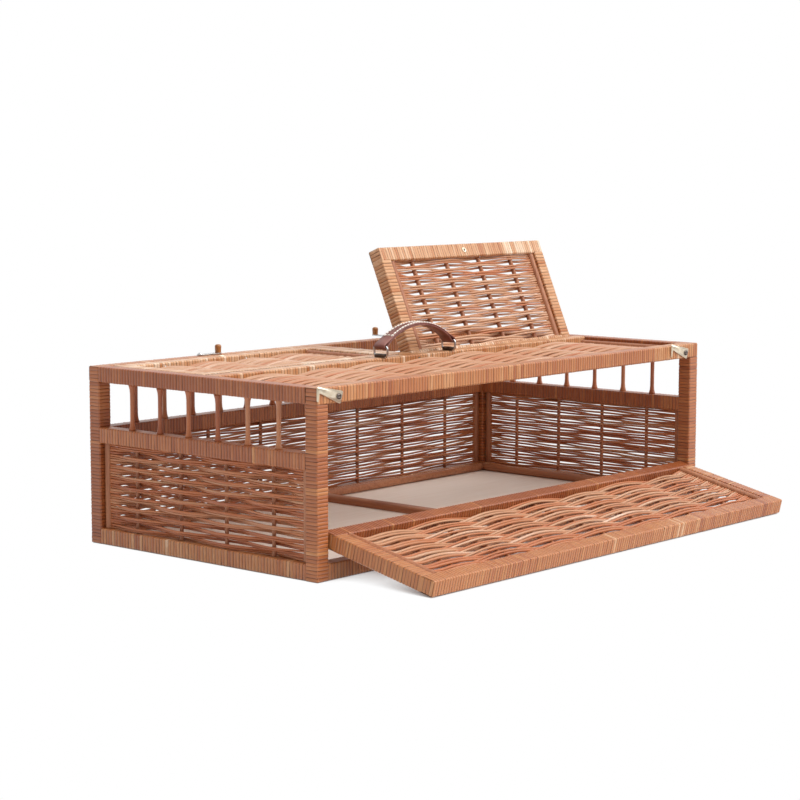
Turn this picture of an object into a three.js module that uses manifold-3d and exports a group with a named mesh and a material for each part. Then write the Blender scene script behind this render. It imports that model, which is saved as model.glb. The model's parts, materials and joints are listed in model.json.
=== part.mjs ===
// Wicker pigeon basket: a long low transport basket of cane-wrapped square bars with woven walls,
// a row of spindles above the weave, a drop-down front flap and two lids in the top.
// Millimetres, +Z up, X along the length, front at -Y, origin under the middle of the front bottom rail.
// As it stands, the flap is let down on the ground, the right lid is open and the left lid is shut.
import * as THREE from 'three';
import { mergeVertices } from 'three/addons/utils/BufferGeometryUtils.js';
import Module from 'manifold-3d';

// Driving dimensions

const LENGTH = 800; // outside, along X
const WIDTH = 400; // outside, along Y
const HEIGHT = 228; // ground to the top of the frame
const BAR = 20; // side of every cane-wrapped square bar
const BAR_EDGE = 2; // flat on each long edge of a bar
const SEAT = 0.3; // gap between pieces that touch

const MID_RAIL_BASE = 130; // ground to the underside of the middle rails
const SPINDLE_D = 5.6; // upright rods above the weave
const SPINDLE_FLARE = 1.75; // how much wider they are where they meet the rails
const SPINDLE_PITCH = 51.5; // wished distance between spindles

const STAKE_D = 7; // rods that the weave goes round
const SIDE_ROD_D = 11; // thicker rod at each end of a woven panel
const ROW_PITCH = 13.6; // wished distance between woven rows
const ROW_GAP = 1.6; // slit between two rows
const ROW_THICK = 4; // thickness of a woven row
const ROW_BITE = 0.7; // how far a row presses into its stakes
const WALL_STAKE_PITCH = 100; // back wall and front strip of the top
const END_STAKE_PITCH = 80; // end walls
const LID_STAKE_PITCH = 73.7;
const FLAP_STAKE_PITCH = 98;

const FLOOR_BASE = 4; // ground to the underside of the floor boards
const FLOOR_THICK = 5;
const GROOVE_DEPTH = 5; // how far the boards enter the long bottom rails
const FLOOR_ROD_D = 11; // rods nailed round the edge of the floor
const STRIP_WIDE = 18; // strip over the seam of the boards
const STRIP_HIGH = 10;

const MID_BAR_Y = -4; // centre line of the bar that carries the handle
const LID_CLEAR = 2; // gap round a closed lid
const LID_HINGE_GAP = 1.5; // gap between the middle bar and the hinge bar of a lid
const LID_HINGE_ROUND = 8; // rounding that lets the hinge bar turn
const LID_OPEN = 66.8; // degrees, the right lid as it stands
const LID_PIN_D = 8;

const FLAP_BASE = 30; // ground to the lower edge of the closed flap
const FLAP_TOP_CLEAR = 3;
const FLAP_SIDE_CLEAR = 3;
const FLAP_AXIS_IN = 5; // hinge axis behind the front face
const FLAP_AXIS_UP = 11; // hinge axis above the lower edge of the closed flap
const FLAP_REST = 0.1; // height of the resting edge above the ground
const FLAP_PIN_D = 6;

const PLATE = 1.5; // sheet metal of hooks and latches
const PLATE_CLEAR = 0.5; // gap between a turning plate and the face behind it
const SCREW_D = 3.4;
const SCREW_HEAD_D = 8;
const SCREW_DEPTH = 10;
const HOLE_CLEAR = 0.4; // on the radius, round pins and screws

const HOOK_END_GAP = 35; // hook pivot from the end of the basket
const HOOK_DROP = 12; // hook pivot below the top
const HOOK_REACH = 38; // pivot to the tip
const HOOK_LIFT = 18; // degrees above level, as it stands
const HOOK_WIDE = 15.4; // at the pivot
const HOOK_HEEL = 6; // pivot to the square end
const HOOK_NIP = 1.2; // taken off the corners of that end
const HOOK_TIP = 6; // at the tip
const PRONG_LONG = 15;
const PRONG_WIDE = 4;
const STUD_REACH = 28; // hook pivot to the stud that it catches
const STUD_D = 3;
const STUD_OUT = 3;

const LATCH_IN = 8; // latch pivot from the back face
const LATCH_SHIFT = -16; // latch pivots along X from the middle of their lids
const LATCH_REACH = 33; // pivot to the knob
const LATCH_WIDE = 10;
const KNOB_D = 9;
const KNOB_HIGH = 11;

const HANDLE_SPAN = 141; // between the feet of the rings
const HANDLE_SHIFT = -3; // handle line in front of the centre of the middle bar
const RING_WIDE = 26;
const RING_WIRE = 3;
const RING_RISE = 12.9; // foot to the bar that holds the strap
const STAPLE_LONG = 18;
const STAPLE_SHEET = 1.2;
const STRAP_WIDE = 19;
const STRAP_THICK = 4;
const STRAP_RISE = 26; // rings to the middle of the arch

// Sizes that follow from these

const RAD = Math.PI / 180;
const halfL = LENGTH / 2;
const halfW = WIDTH / 2;
const innerL = LENGTH - 2 * BAR; // between the posts
const innerW = WIDTH - 2 * BAR;
const topBase = HEIGHT - BAR; // underside of the top rails
const topMid = HEIGHT - BAR / 2;
const midRailTop = MID_RAIL_BASE + BAR;

const wood = { roughness: 0.7, metalness: 0 };
const paint = {
  cane: new THREE.MeshStandardMaterial({ name: 'cane', color: 0xc9936b, ...wood }),
  weave: new THREE.MeshStandardMaterial({ name: 'weave', color: 0xc48a62, ...wood }),
  spindle: new THREE.MeshStandardMaterial({ name: 'spindle', color: 0xb87a55, ...wood }),
  floor: new THREE.MeshStandardMaterial({ name: 'floor', color: 0xd8c0ac, ...wood }),
  knob: new THREE.MeshStandardMaterial({ name: 'knob', color: 0xa4693a, ...wood }),
  leather: new THREE.MeshStandardMaterial({ name: 'leather', color: 0x6f3d2e, roughness: 0.55, metalness: 0 }),
  brass: new THREE.MeshStandardMaterial({ name: 'brass', color: 0xe3d5a2, roughness: 0.35, metalness: 1 }),
  steel: new THREE.MeshStandardMaterial({ name: 'steel', color: 0xb9bbbd, roughness: 0.3, metalness: 1 }),
  iron: new THREE.MeshStandardMaterial({ name: 'iron', color: 0x5b5754, roughness: 0.45, metalness: 1 }),
};

// Solids: closed geometries go in and out of the boolean library

const wasm = await Module();
wasm.setup();

function toSolid(geometry) {
  const bare = geometry.clone();
  bare.deleteAttribute('normal');
  bare.deleteAttribute('uv');
  const merged = mergeVertices(bare, 1e-4);
  return new wasm.Manifold(new wasm.Mesh({
    numProp: 3,
    vertProperties: new Float32Array(merged.attributes.position.array),
    triVerts: new Uint32Array(merged.index.array),
  }));
}

function fromSolid(solid) {
  const mesh = solid.getMesh();
  const geometry = new THREE.BufferGeometry();
  geometry.setAttribute('position', new THREE.BufferAttribute(new Float32Array(mesh.vertProperties), 3));
  geometry.setIndex(new THREE.BufferAttribute(new Uint32Array(mesh.triVerts), 1));
  const flat = geometry.toNonIndexed();
  flat.computeVertexNormals();
  return flat;
}

function unite(geometries) {
  return fromSolid(geometries.map(toSolid).reduce((sum, next) => sum.add(next)));
}

function cut(geometry, tools) {
  return fromSolid(tools.map(toSolid).reduce((rest, tool) => rest.subtract(tool), toSolid(geometry)));
}

// Simple forms

function box(x, y, z) {
  return new THREE.BoxGeometry(x, y, z);
}

// Outline of a bar with its long edges taken off
function barOutline(wide, high) {
  const a = wide / 2;
  const b = high / 2;
  const e = BAR_EDGE;
  const corners = [[a, b - e], [a - e, b], [e - a, b], [-a, b - e], [-a, e - b], [e - a, -b], [a - e, -b], [a, e - b]];
  return new THREE.Shape(corners.map(([x, y]) => new THREE.Vector2(x, y)));
}

// A square bar with its centre at the origin, along x, y or z
function bar(long, axis) {
  const geometry = new THREE.ExtrudeGeometry(barOutline(BAR, BAR), { depth: long, bevelEnabled: false });
  geometry.translate(0, 0, -long / 2);
  return along(geometry, axis);
}

function along(geometry, axis) {
  if (axis === 'x') geometry.rotateY(Math.PI / 2);
  if (axis === 'y') geometry.rotateX(-Math.PI / 2);
  return geometry;
}

// A round rod with its centre at the origin, along x, y or z
function rod(diameter, long, axis, sides = 10) {
  const geometry = new THREE.CylinderGeometry(diameter / 2, diameter / 2, long, sides);
  geometry.rotateX(Math.PI / 2);
  return along(geometry, axis);
}

// A hole wide enough for a pin of this diameter to turn in
function hole(diameter, long, axis, sides = 16) {
  return rod(diameter + 2 * HOLE_CLEAR, long, axis, sides);
}

function at(geometry, x, y, z) {
  return geometry.translate(x, y, z);
}

// Places that share a pitch about the middle
function spread(count, pitch) {
  return Array.from({ length: count }, (_, i) => (i - (count - 1) / 2) * pitch);
}

// Stakes that fit between two side rods at a given pitch
function stakesFor(wide, pitch) {
  const room = wide - 2 * SIDE_ROD_D - pitch / 2;
  return spread(Math.max(2, Math.floor(room / pitch) + 1), pitch);
}

// A woven panel in its own X and Y: stakes stand along Y, and each row of rods runs along X,
// in front of one stake and behind the next, with the rows next to it the other way round.
// Both ends of a row are turned round a thicker side rod.
function weave(wide, high, pitch) {
  const stakes = stakesFor(wide, pitch);
  const sideX = (wide - SIDE_ROD_D) / 2;
  const rows = Math.max(2, Math.round(high / ROW_PITCH));
  const step = high / rows;
  const swing = (STAKE_D + ROW_THICK) / 2 - ROW_BITE;
  const solids = stakes.map((x) => at(rod(STAKE_D, high, 'y', 6), x, 0, 0));
  for (const side of [-sideX, sideX]) solids.push(at(rod(SIDE_ROD_D, high, 'y', 8), side, 0, 0));
  for (let row = 0; row < rows; row += 1) {
    const line = stakes.map((x, i) => [x, (row + i) % 2 ? -swing : swing]);
    const path = [[-sideX, 0], ...line, [sideX, 0]];
    const front = path.map(([x, w]) => new THREE.Vector2(x, w + ROW_THICK / 2));
    const back = path.map(([x, w]) => new THREE.Vector2(x, w - ROW_THICK / 2));
    const outline = new THREE.Shape([...back, ...front.reverse()]);
    const band = new THREE.ExtrudeGeometry(outline, { depth: step - ROW_GAP, bevelEnabled: false });
    band.rotateX(Math.PI / 2);
    band.translate(0, (row + 1) * step - ROW_GAP / 2 - high / 2, 0);
    solids.push(band);
  }
  return unite(solids);
}

// Scene

const whole = new THREE.Group();
whole.name = 'pigeon_basket';
const basket = group(whole, 0, halfW - BAR / 2, 0); // the origin lies under the front bottom rail

function group(parent, x, y, z) {
  const made = new THREE.Group();
  made.position.set(x, y, z);
  parent.add(made);
  return made;
}

function piece(parent, name, geometry, material, x = 0, y = 0, z = 0) {
  const mesh = new THREE.Mesh(geometry, material);
  mesh.name = name;
  mesh.position.set(x, y, z);
  parent.add(mesh);
  return mesh;
}

const sides = [['left', -1], ['right', 1]];
const faces = [['front', -1], ['back', 1]];

// Corner posts: the long top rails are halved into them

for (const [face, fy] of faces) {
  for (const [side, sx] of sides) {
    const lap = at(box(2 * BAR, BAR, 2 * BAR), 0, (fy * BAR) / 2, HEIGHT / 2 - SEAT);
    lap.translate(0, -fy * (SEAT / 2), 0);
    const cuts = [lap];
    if (face === 'front') {
      const pin = hole(FLAP_PIN_D, BAR - 4, 'x');
      const pinY = -BAR / 2 + FLAP_AXIS_IN;
      cuts.push(at(pin, (-sx * BAR) / 2, pinY, FLAP_BASE + FLAP_AXIS_UP - HEIGHT / 2));
    }
    const post = cut(bar(HEIGHT, 'z'), cuts);
    piece(basket, `post_${face}_${side}`, post, paint.cane, sx * (halfL - BAR / 2), fy * (halfW - BAR / 2), HEIGHT / 2);
  }
}

// Bottom rails: the long ones are grooved for the floor boards

for (const [face, fy] of faces) {
  const groove = at(
    box(LENGTH, 2 * GROOVE_DEPTH, FLOOR_THICK + 2 * SEAT),
    0,
    (-fy * BAR) / 2,
    FLOOR_BASE + FLOOR_THICK / 2 - BAR / 2,
  );
  const rail = cut(bar(innerL - 2 * SEAT, 'x'), [groove]);
  piece(basket, `bottom_rail_${face}`, rail, paint.cane, 0, fy * (halfW - BAR / 2), BAR / 2);
}
for (const [side, sx] of sides) {
  const rail = bar(innerW - 2 * SEAT, 'y');
  piece(basket, `bottom_rail_${side}`, rail, paint.cane, sx * (halfL - BAR / 2), 0, BAR / 2);
}

// Middle rails, each with its row of spindles glued in

function spindleRail(long) {
  const count = Math.max(2, Math.round(long / SPINDLE_PITCH) - 1);
  const high = topBase - SEAT - midRailTop;
  const r = SPINDLE_D / 2;
  const end = r * SPINDLE_FLARE;
  const outline = [[0, -2], [end, -2], [end, 1], [r, 11], [r, high - 11], [end, high], [0, high]];
  const solids = [bar(long - 2 * SEAT, 'x')];
  for (const x of spread(count, long / (count + 1))) {
    const spindle = new THREE.LatheGeometry(outline.map(([a, b]) => new THREE.Vector2(a, b)), 6);
    spindle.rotateX(Math.PI / 2);
    solids.push(at(spindle, x, 0, BAR / 2));
  }
  return unite(solids);
}

piece(basket, 'spindle_rail_back', spindleRail(innerL), paint.spindle, 0, halfW - BAR / 2, MID_RAIL_BASE + BAR / 2);
for (const [side, sx] of sides) {
  const rail = spindleRail(innerW).rotateZ(Math.PI / 2);
  const name = `spindle_rail_${side}`;
  piece(basket, name, rail, paint.spindle, sx * (halfL - BAR / 2), 0, MID_RAIL_BASE + BAR / 2);
}

// Top rails: the long ones run the full length, halved over the posts

const hookX = halfL - HOOK_END_GAP;
const hookZ = HEIGHT - HOOK_DROP;
const lidLong = innerL / 2 - BAR / 2 - 2 * LID_CLEAR;
const lidX = BAR / 2 + LID_CLEAR + lidLong / 2;
const latchXs = sides.map(([, sx]) => sx * lidX + LATCH_SHIFT);
const latchY = halfW - LATCH_IN;

for (const [face, fy] of faces) {
  const cuts = sides.map(([, sx]) => {
    const lap = box(2 * BAR + 2 * SEAT, BAR, 2 * BAR);
    return at(lap, sx * halfL, -fy * (BAR / 2 - SEAT / 2), 0);
  });
  for (const [i, [, sx]] of sides.entries()) {
    if (face === 'front') cuts.push(at(hole(SCREW_D, 2 * SCREW_DEPTH, 'y', 10), sx * hookX, -BAR / 2, hookZ - topMid));
    else cuts.push(at(hole(SCREW_D, 2 * SCREW_DEPTH, 'z', 10), latchXs[i], latchY - halfW + BAR / 2, BAR / 2));
  }
  const rail = cut(bar(LENGTH, 'x'), cuts);
  piece(basket, `top_rail_${face}`, rail, paint.cane, 0, fy * (halfW - BAR / 2), topMid);
}

// The end rails and the centre strut hold the pins of the lids

const midBarBack = MID_BAR_Y + BAR / 2;
const lidAxisY = midBarBack + LID_HINGE_GAP + BAR / 2;
const pinDepth = BAR / 2 - 2;

for (const [side, sx] of sides) {
  const pin = at(hole(LID_PIN_D, 2 * pinDepth + 1, 'x'), (-sx * BAR) / 2, lidAxisY, 0);
  const rail = cut(bar(innerW - 2 * SEAT, 'y'), [pin]);
  piece(basket, `top_rail_${side}`, rail, paint.cane, sx * (halfL - BAR / 2), 0, topMid);
}

piece(basket, 'middle_bar', bar(innerL - 2 * SEAT, 'x'), paint.cane, 0, MID_BAR_Y, topMid);

const strutFront = midBarBack + SEAT;
const strutBack = halfW - BAR - SEAT;
const strutMid = (strutFront + strutBack) / 2;
const strutPins = sides.map(([, sx]) => {
  return at(hole(LID_PIN_D, 2 * pinDepth + 1, 'x'), (sx * BAR) / 2, lidAxisY - strutMid, 0);
});
const strut = cut(bar(strutBack - strutFront, 'y'), strutPins);
piece(basket, 'centre_strut', strut, paint.cane, 0, strutMid, topMid);

// Woven walls and the woven front strip of the top

const wallHigh = MID_RAIL_BASE - BAR - 2 * SEAT;
const wallMid = (MID_RAIL_BASE + BAR) / 2;
const longWall = weave(innerL - 2 * SEAT, wallHigh, WALL_STAKE_PITCH).rotateX(Math.PI / 2);
piece(basket, 'weave_back', longWall, paint.weave, 0, halfW - BAR / 2, wallMid);
for (const [side, sx] of sides) {
  const wall = weave(innerW - 2 * SEAT, wallHigh, END_STAKE_PITCH).rotateX(Math.PI / 2).rotateZ(Math.PI / 2);
  piece(basket, `weave_${side}`, wall, paint.weave, sx * (halfL - BAR / 2), 0, wallMid);
}

const stripFront = -halfW + BAR + SEAT;
const stripBack = MID_BAR_Y - BAR / 2 - SEAT;
const topStrip = weave(innerL - 2 * SEAT, stripBack - stripFront, WALL_STAKE_PITCH);
piece(basket, 'weave_top', topStrip, paint.weave, 0, (stripFront + stripBack) / 2, topMid);

// Floor: two boards in the grooves of the long rails, a strip over the seam, rods round the edge

const floorTop = FLOOR_BASE + FLOOR_THICK;
const boardLong = innerL / 2 - SEAT - SEAT / 2;
const boardWide = innerW + 2 * (GROOVE_DEPTH - SEAT);
for (const [side, sx] of sides) {
  const board = box(boardLong, boardWide, FLOOR_THICK);
  const x = (sx * (boardLong + SEAT)) / 2;
  piece(basket, `floor_board_${side}`, board, paint.floor, x, 0, FLOOR_BASE + FLOOR_THICK / 2);
}

const floorRodZ = floorTop + SEAT + FLOOR_ROD_D / 2;
const floorRodIn = SEAT + FLOOR_ROD_D / 2;
for (const [side, sx] of sides) {
  const edge = rod(FLOOR_ROD_D, innerW - 2 * SEAT, 'y', 8);
  piece(basket, `floor_rod_${side}`, edge, paint.spindle, sx * (innerL / 2 - floorRodIn), 0, floorRodZ);
}
const backRodLong = innerL - 4 * floorRodIn;
const backRod = rod(FLOOR_ROD_D, backRodLong, 'x', 8);
piece(basket, 'floor_rod_back', backRod, paint.spindle, 0, innerW / 2 - floorRodIn, floorRodZ);

const stripFrontY = -innerW / 2 + SEAT;
const stripBackY = innerW / 2 - 2 * floorRodIn;
const stripOutline = new THREE.Shape();
stripOutline.moveTo(-STRIP_WIDE / 2, 0);
stripOutline.lineTo(STRIP_WIDE / 2, 0);
stripOutline.lineTo(STRIP_WIDE / 2, STRIP_HIGH * 0.5);
stripOutline.quadraticCurveTo(STRIP_WIDE / 2, STRIP_HIGH, 0, STRIP_HIGH);
stripOutline.quadraticCurveTo(-STRIP_WIDE / 2, STRIP_HIGH, -STRIP_WIDE / 2, STRIP_HIGH * 0.5);
const seamStrip = new THREE.ExtrudeGeometry(stripOutline, {
  depth: stripBackY - stripFrontY,
  bevelEnabled: false,
  curveSegments: 4,
});
seamStrip.rotateX(Math.PI / 2);
piece(basket, 'floor_strip', seamStrip, paint.spindle, 0, stripBackY, floorTop + SEAT);

// Lids: four wrapped bars round a woven panel, turning on round ends of the hinge bar

function hingeBarOutline() {
  const h = BAR / 2;
  const e = BAR_EDGE;
  const r = LID_HINGE_ROUND;
  const shape = new THREE.Shape();
  shape.moveTo(-h, e - h);
  shape.lineTo(e - h, -h);
  shape.lineTo(h - e, -h);
  shape.lineTo(h, e - h);
  shape.lineTo(h, h - e);
  shape.lineTo(h - e, h);
  shape.lineTo(r - h, h);
  shape.absarc(r - h, h - r, r, Math.PI / 2, Math.PI, false);
  return shape;
}

const lidFree = halfW - BAR - LID_CLEAR - lidAxisY; // hinge axis to the free edge
const lidSideLong = lidFree - BAR * 1.5 - 2 * SEAT;
const lidSideY = (lidFree - BAR / 2) / 2;

for (const [side, sx] of sides) {
  const lid = group(basket, sx * lidX, lidAxisY, topMid);
  lid.rotation.x = side === 'right' ? LID_OPEN * RAD : 0;
  const core = new THREE.ExtrudeGeometry(hingeBarOutline(), { depth: lidLong, bevelEnabled: false, curveSegments: 5 });
  core.translate(0, 0, -lidLong / 2);
  core.rotateX(Math.PI / 2).rotateZ(Math.PI / 2);
  const pins = rod(LID_PIN_D, lidLong + 2 * (LID_CLEAR + pinDepth), 'x', 12);
  piece(lid, `lid_${side}_hinge_bar`, unite([core, pins]), paint.cane);
  piece(lid, `lid_${side}_free_bar`, bar(lidLong, 'x'), paint.cane, 0, lidFree - BAR / 2, 0);
  for (const [end, ex] of [['outer', sx], ['inner', -sx]]) {
    const x = ex * (lidLong / 2 - BAR / 2);
    piece(lid, `lid_${side}_${end}_bar`, bar(lidSideLong, 'y'), paint.cane, x, lidSideY, 0);
  }
  const panel = weave(lidLong - 2 * BAR - 2 * SEAT, lidSideLong, LID_STAKE_PITCH);
  piece(lid, `lid_${side}_weave`, panel, paint.weave, 0, lidSideY, 0);
}

// Flap: hinged on pins in the front posts, let down until its outer edge meets the ground

const flapLong = innerL - 2 * FLAP_SIDE_CLEAR;
const flapAxisY = -halfW + FLAP_AXIS_IN;
const flapAxisZ = FLAP_BASE + FLAP_AXIS_UP;
const flapTop = topBase - FLAP_TOP_CLEAR - flapAxisZ; // hinge axis to the upper edge
const flapReach = Math.hypot(flapTop, FLAP_AXIS_IN);
const flapOpen = Math.acos((FLAP_REST - flapAxisZ) / flapReach) - Math.atan2(FLAP_AXIS_IN, flapTop);
const flapMidY = BAR / 2 - FLAP_AXIS_IN;
const flapLowZ = BAR / 2 - FLAP_AXIS_UP;
const flapSideLong = flapTop + FLAP_AXIS_UP - 2 * BAR - 2 * SEAT;
const flapSideZ = (flapTop - FLAP_AXIS_UP) / 2;

const flap = group(basket, 0, flapAxisY, flapAxisZ);
flap.rotation.x = flapOpen;

const flapPins = rod(FLAP_PIN_D, flapLong + 2 * (FLAP_SIDE_CLEAR + BAR / 2 - 3), 'x', 12);
const flapHinge = unite([at(bar(flapLong, 'x'), 0, flapMidY, flapLowZ), flapPins]);
piece(flap, 'flap_hinge_bar', flapHinge, paint.cane);

const studX = HOOK_TIP / 2 + HOLE_CLEAR + STUD_D / 2 + 1.2;
const studZ = hookZ - STUD_REACH - flapAxisZ;
const studHoles = sides.map(([, sx]) => {
  return at(rod(STUD_D + 2 * SEAT, BAR, 'y', 10), sx * hookX + studX, -BAR / 2, studZ - flapTop + BAR / 2);
});
piece(flap, 'flap_free_bar', cut(bar(flapLong, 'x'), studHoles), paint.cane, 0, flapMidY, flapTop - BAR / 2);
for (const [side, sx] of sides) {
  piece(flap, `flap_${side}_bar`, bar(flapSideLong, 'z'), paint.cane, sx * (flapLong - BAR) / 2, flapMidY, flapSideZ);
  const stud = rod(STUD_D, STUD_OUT + BAR / 2 - 1, 'y', 10);
  const studY = -FLAP_AXIS_IN - STUD_OUT + (STUD_OUT + BAR / 2 - 1) / 2;
  piece(flap, `flap_stud_${side}`, stud, paint.brass, sx * hookX + studX, studY, studZ);
}
const flapWeave = weave(flapLong - 2 * BAR - 2 * SEAT, flapSideLong, FLAP_STAKE_PITCH).rotateX(Math.PI / 2);
piece(flap, 'flap_weave', flapWeave, paint.weave, 0, flapMidY, flapSideZ);

// Screw with a slotted round head, along +Z, seated on a plate whose upper face is at zero

function screw() {
  const shank = SCREW_D / 2;
  const head = SCREW_HEAD_D / 2;
  const low = -PLATE - PLATE_CLEAR - SCREW_DEPTH + 1;
  const outline = [[0, low], [shank, low + shank], [shank, SEAT], [head, SEAT], [head * 0.8, 1.8], [0, 2.4]];
  const turned = new THREE.LatheGeometry(outline.map(([a, b]) => new THREE.Vector2(a, b)), 12);
  turned.rotateX(Math.PI / 2);
  const slot = at(box(SCREW_HEAD_D, 0.9, 1.8), 0, 0, 2.4);
  return cut(turned, [slot]);
}

// Swivel hooks on the front top rail

function hookPlate() {
  const r = HOOK_WIDE / 2;
  const t = HOOK_TIP / 2;
  const lean = (90 + HOOK_LIFT) * RAD; // the prong hangs straight down
  const dx = Math.cos(lean);
  const dy = Math.sin(lean);
  const tipX = HOOK_REACH + PRONG_LONG * dx;
  const tipY = PRONG_LONG * dy;
  const back = PRONG_WIDE / dy;
  const shape = new THREE.Shape();
  shape.moveTo(HOOK_NIP - HOOK_HEEL, r);
  shape.lineTo(-HOOK_HEEL, r - HOOK_NIP);
  shape.lineTo(-HOOK_HEEL, HOOK_NIP - r);
  shape.lineTo(HOOK_NIP - HOOK_HEEL, -r);
  shape.lineTo(HOOK_REACH - t, -t);
  shape.quadraticCurveTo(HOOK_REACH, -t, HOOK_REACH, 0);
  shape.lineTo(tipX, tipY);
  shape.lineTo(tipX - PRONG_WIDE * 0.6, tipY + 0.5);
  shape.lineTo(HOOK_REACH - back + (t + 1.2) * (dx / dy), t + 1.2);
  const eye = new THREE.Path();
  eye.absarc(0, 0, SCREW_D / 2 + HOLE_CLEAR, 0, Math.PI * 2, true);
  shape.holes.push(eye);
  const plate = new THREE.ExtrudeGeometry(shape, { depth: PLATE, bevelEnabled: false, curveSegments: 6 });
  plate.rotateZ(Math.PI - HOOK_LIFT * RAD);
  return plate.rotateX(Math.PI / 2);
}

for (const [side, sx] of sides) {
  const hook = group(basket, sx * hookX, -halfW - PLATE_CLEAR, hookZ);
  piece(hook, `hook_${side}`, hookPlate(), paint.brass);
  const pivot = screw().rotateX(Math.PI / 2);
  piece(basket, `hook_screw_${side}`, pivot, paint.brass, sx * hookX, -halfW - PLATE_CLEAR - PLATE, hookZ);
}

// Turn latches on the back top rail, each with a wooden knob

function latchPlate() {
  const r = LATCH_WIDE / 2;
  const shape = new THREE.Shape();
  shape.absarc(0, 0, r, Math.PI / 2, Math.PI * 1.5, false);
  shape.absarc(LATCH_REACH, 0, r, -Math.PI / 2, Math.PI / 2, false);
  for (const [x, d] of [[0, SCREW_D], [LATCH_REACH, SCREW_D]]) {
    const eye = new THREE.Path();
    eye.absarc(x, 0, d / 2 + HOLE_CLEAR, 0, Math.PI * 2, true);
    shape.holes.push(eye);
  }
  return new THREE.ExtrudeGeometry(shape, { depth: PLATE, bevelEnabled: false, curveSegments: 6 });
}

function latchKnob() {
  const r = KNOB_D / 2;
  const peg = SCREW_D / 2;
  const base = PLATE + SEAT;
  const outline = [[0, 0.1], [peg, 0.1], [peg, base], [r * 0.85, base], [r, base + 2], [r, base + KNOB_HIGH * 0.65]];
  outline.push([r * 0.75, base + KNOB_HIGH * 0.9], [0, base + KNOB_HIGH]);
  const knob = new THREE.LatheGeometry(outline.map(([a, b]) => new THREE.Vector2(a, b)), 12);
  return knob.rotateX(Math.PI / 2);
}

for (const [i, [side]] of sides.entries()) {
  const latchX = latchXs[i];
  const latch = group(basket, latchX, latchY, HEIGHT + PLATE_CLEAR);
  latch.rotation.z = side === 'right' ? Math.PI / 2 : 0;
  piece(latch, `latch_${side}`, latchPlate(), paint.steel);
  piece(latch, `latch_knob_${side}`, latchKnob(), paint.knob, LATCH_REACH, 0, 0);
  piece(basket, `latch_screw_${side}`, screw(), paint.steel, latchX, latchY, HEIGHT + PLATE_CLEAR + PLATE);
}

// Handle: a stitched leather strap on two wire rings, held down by staples on the middle bar

const handleY = MID_BAR_Y + HANDLE_SHIFT;
const footZ = HEIGHT + 2 * SEAT + RING_WIRE / 2;
const ringR = RING_WIRE / 2;
const ringEdge = RING_WIRE * 0.3;

function ringOutline(path, wide, low, high, r) {
  const a = wide / 2;
  path.absarc(a - r, low + r, r, -Math.PI / 2, 0, false);
  path.absarc(a - r, high - r, r, 0, Math.PI / 2, false);
  path.absarc(r - a, high - r, r, Math.PI / 2, Math.PI, false);
  path.absarc(r - a, low + r, r, Math.PI, Math.PI * 1.5, false);
  return path;
}

function ring() {
  const top = RING_RISE + ringR;
  const shape = ringOutline(new THREE.Shape(), RING_WIDE, -ringR, top, ringR + 2);
  const inner = RING_WIDE - 2 * RING_WIRE;
  shape.holes.push(ringOutline(new THREE.Path(), inner, ringR, RING_RISE - ringR, 0.6));
  const wire = new THREE.ExtrudeGeometry(shape, {
    depth: RING_WIRE - 2 * ringEdge,
    bevelEnabled: true,
    bevelThickness: ringEdge,
    bevelSize: ringEdge,
    bevelOffset: -ringEdge,
    bevelSegments: 1,
    curveSegments: 2,
  });
  wire.translate(0, 0, -(RING_WIRE - 2 * ringEdge) / 2);
  return wire.rotateX(Math.PI / 2).rotateZ(Math.PI / 2);
}

function staple() {
  const inside = RING_WIRE + 2 * SEAT;
  const a = inside / 2 + STAPLE_SHEET;
  const b = inside / 2;
  const outline = [[-a, 0], [-b, 0], [-b, inside], [b, inside], [b, 0], [a, 0], [a, inside], [b, inside + STAPLE_SHEET]];
  outline.push([-b, inside + STAPLE_SHEET], [-a, inside]);
  const shape = new THREE.Shape(outline.map(([x, y]) => new THREE.Vector2(x, y)));
  const bent = new THREE.ExtrudeGeometry(shape, { depth: STAPLE_LONG, bevelEnabled: false });
  bent.translate(0, 0, -STAPLE_LONG / 2);
  return bent.rotateX(Math.PI / 2);
}

// The strap is an arch of even thickness with an eye at each end, drawn in X and Z
function strap() {
  const half = HANDLE_SPAN / 2;
  const radius = (half * half + STRAP_RISE * STRAP_RISE) / (2 * STRAP_RISE);
  const centre = STRAP_RISE - radius;
  const sweep = Math.asin(half / radius);
  const eyeR = ringR + HOLE_CLEAR + 0.1;
  const eyeOut = eyeR + STRAP_THICK / 2;
  const arch = new THREE.Shape();
  arch.absarc(0, centre, radius + STRAP_THICK / 2, Math.PI / 2 + sweep, Math.PI / 2 - sweep, true);
  arch.absarc(0, centre, radius - STRAP_THICK / 2, Math.PI / 2 - sweep, Math.PI / 2 + sweep, false);
  const solid = (shape) => {
    const made = new THREE.ExtrudeGeometry(shape, { depth: STRAP_WIDE, bevelEnabled: false, curveSegments: 16 });
    return made.translate(0, 0, -STRAP_WIDE / 2).rotateX(Math.PI / 2);
  };
  const ends = [-half, half].map((x) => at(rod(2 * eyeOut, STRAP_WIDE, 'y', 12), x, 0, 0));
  const holes = [-half, half].map((x) => at(rod(2 * eyeR, 2 * STRAP_WIDE, 'y', 10), x, 0, 0));
  return cut(unite([solid(arch), ...ends]), holes);
}

for (const [side, sx] of sides) {
  const x = (sx * HANDLE_SPAN) / 2;
  piece(basket, `handle_staple_${side}`, staple(), paint.iron, x, handleY, HEIGHT + SEAT);
  piece(group(basket, x, handleY, footZ), `handle_ring_${side}`, ring(), paint.steel);
}
piece(basket, 'handle_strap', strap(), paint.leather, 0, handleY, footZ + RING_RISE);

export default whole;
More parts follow.
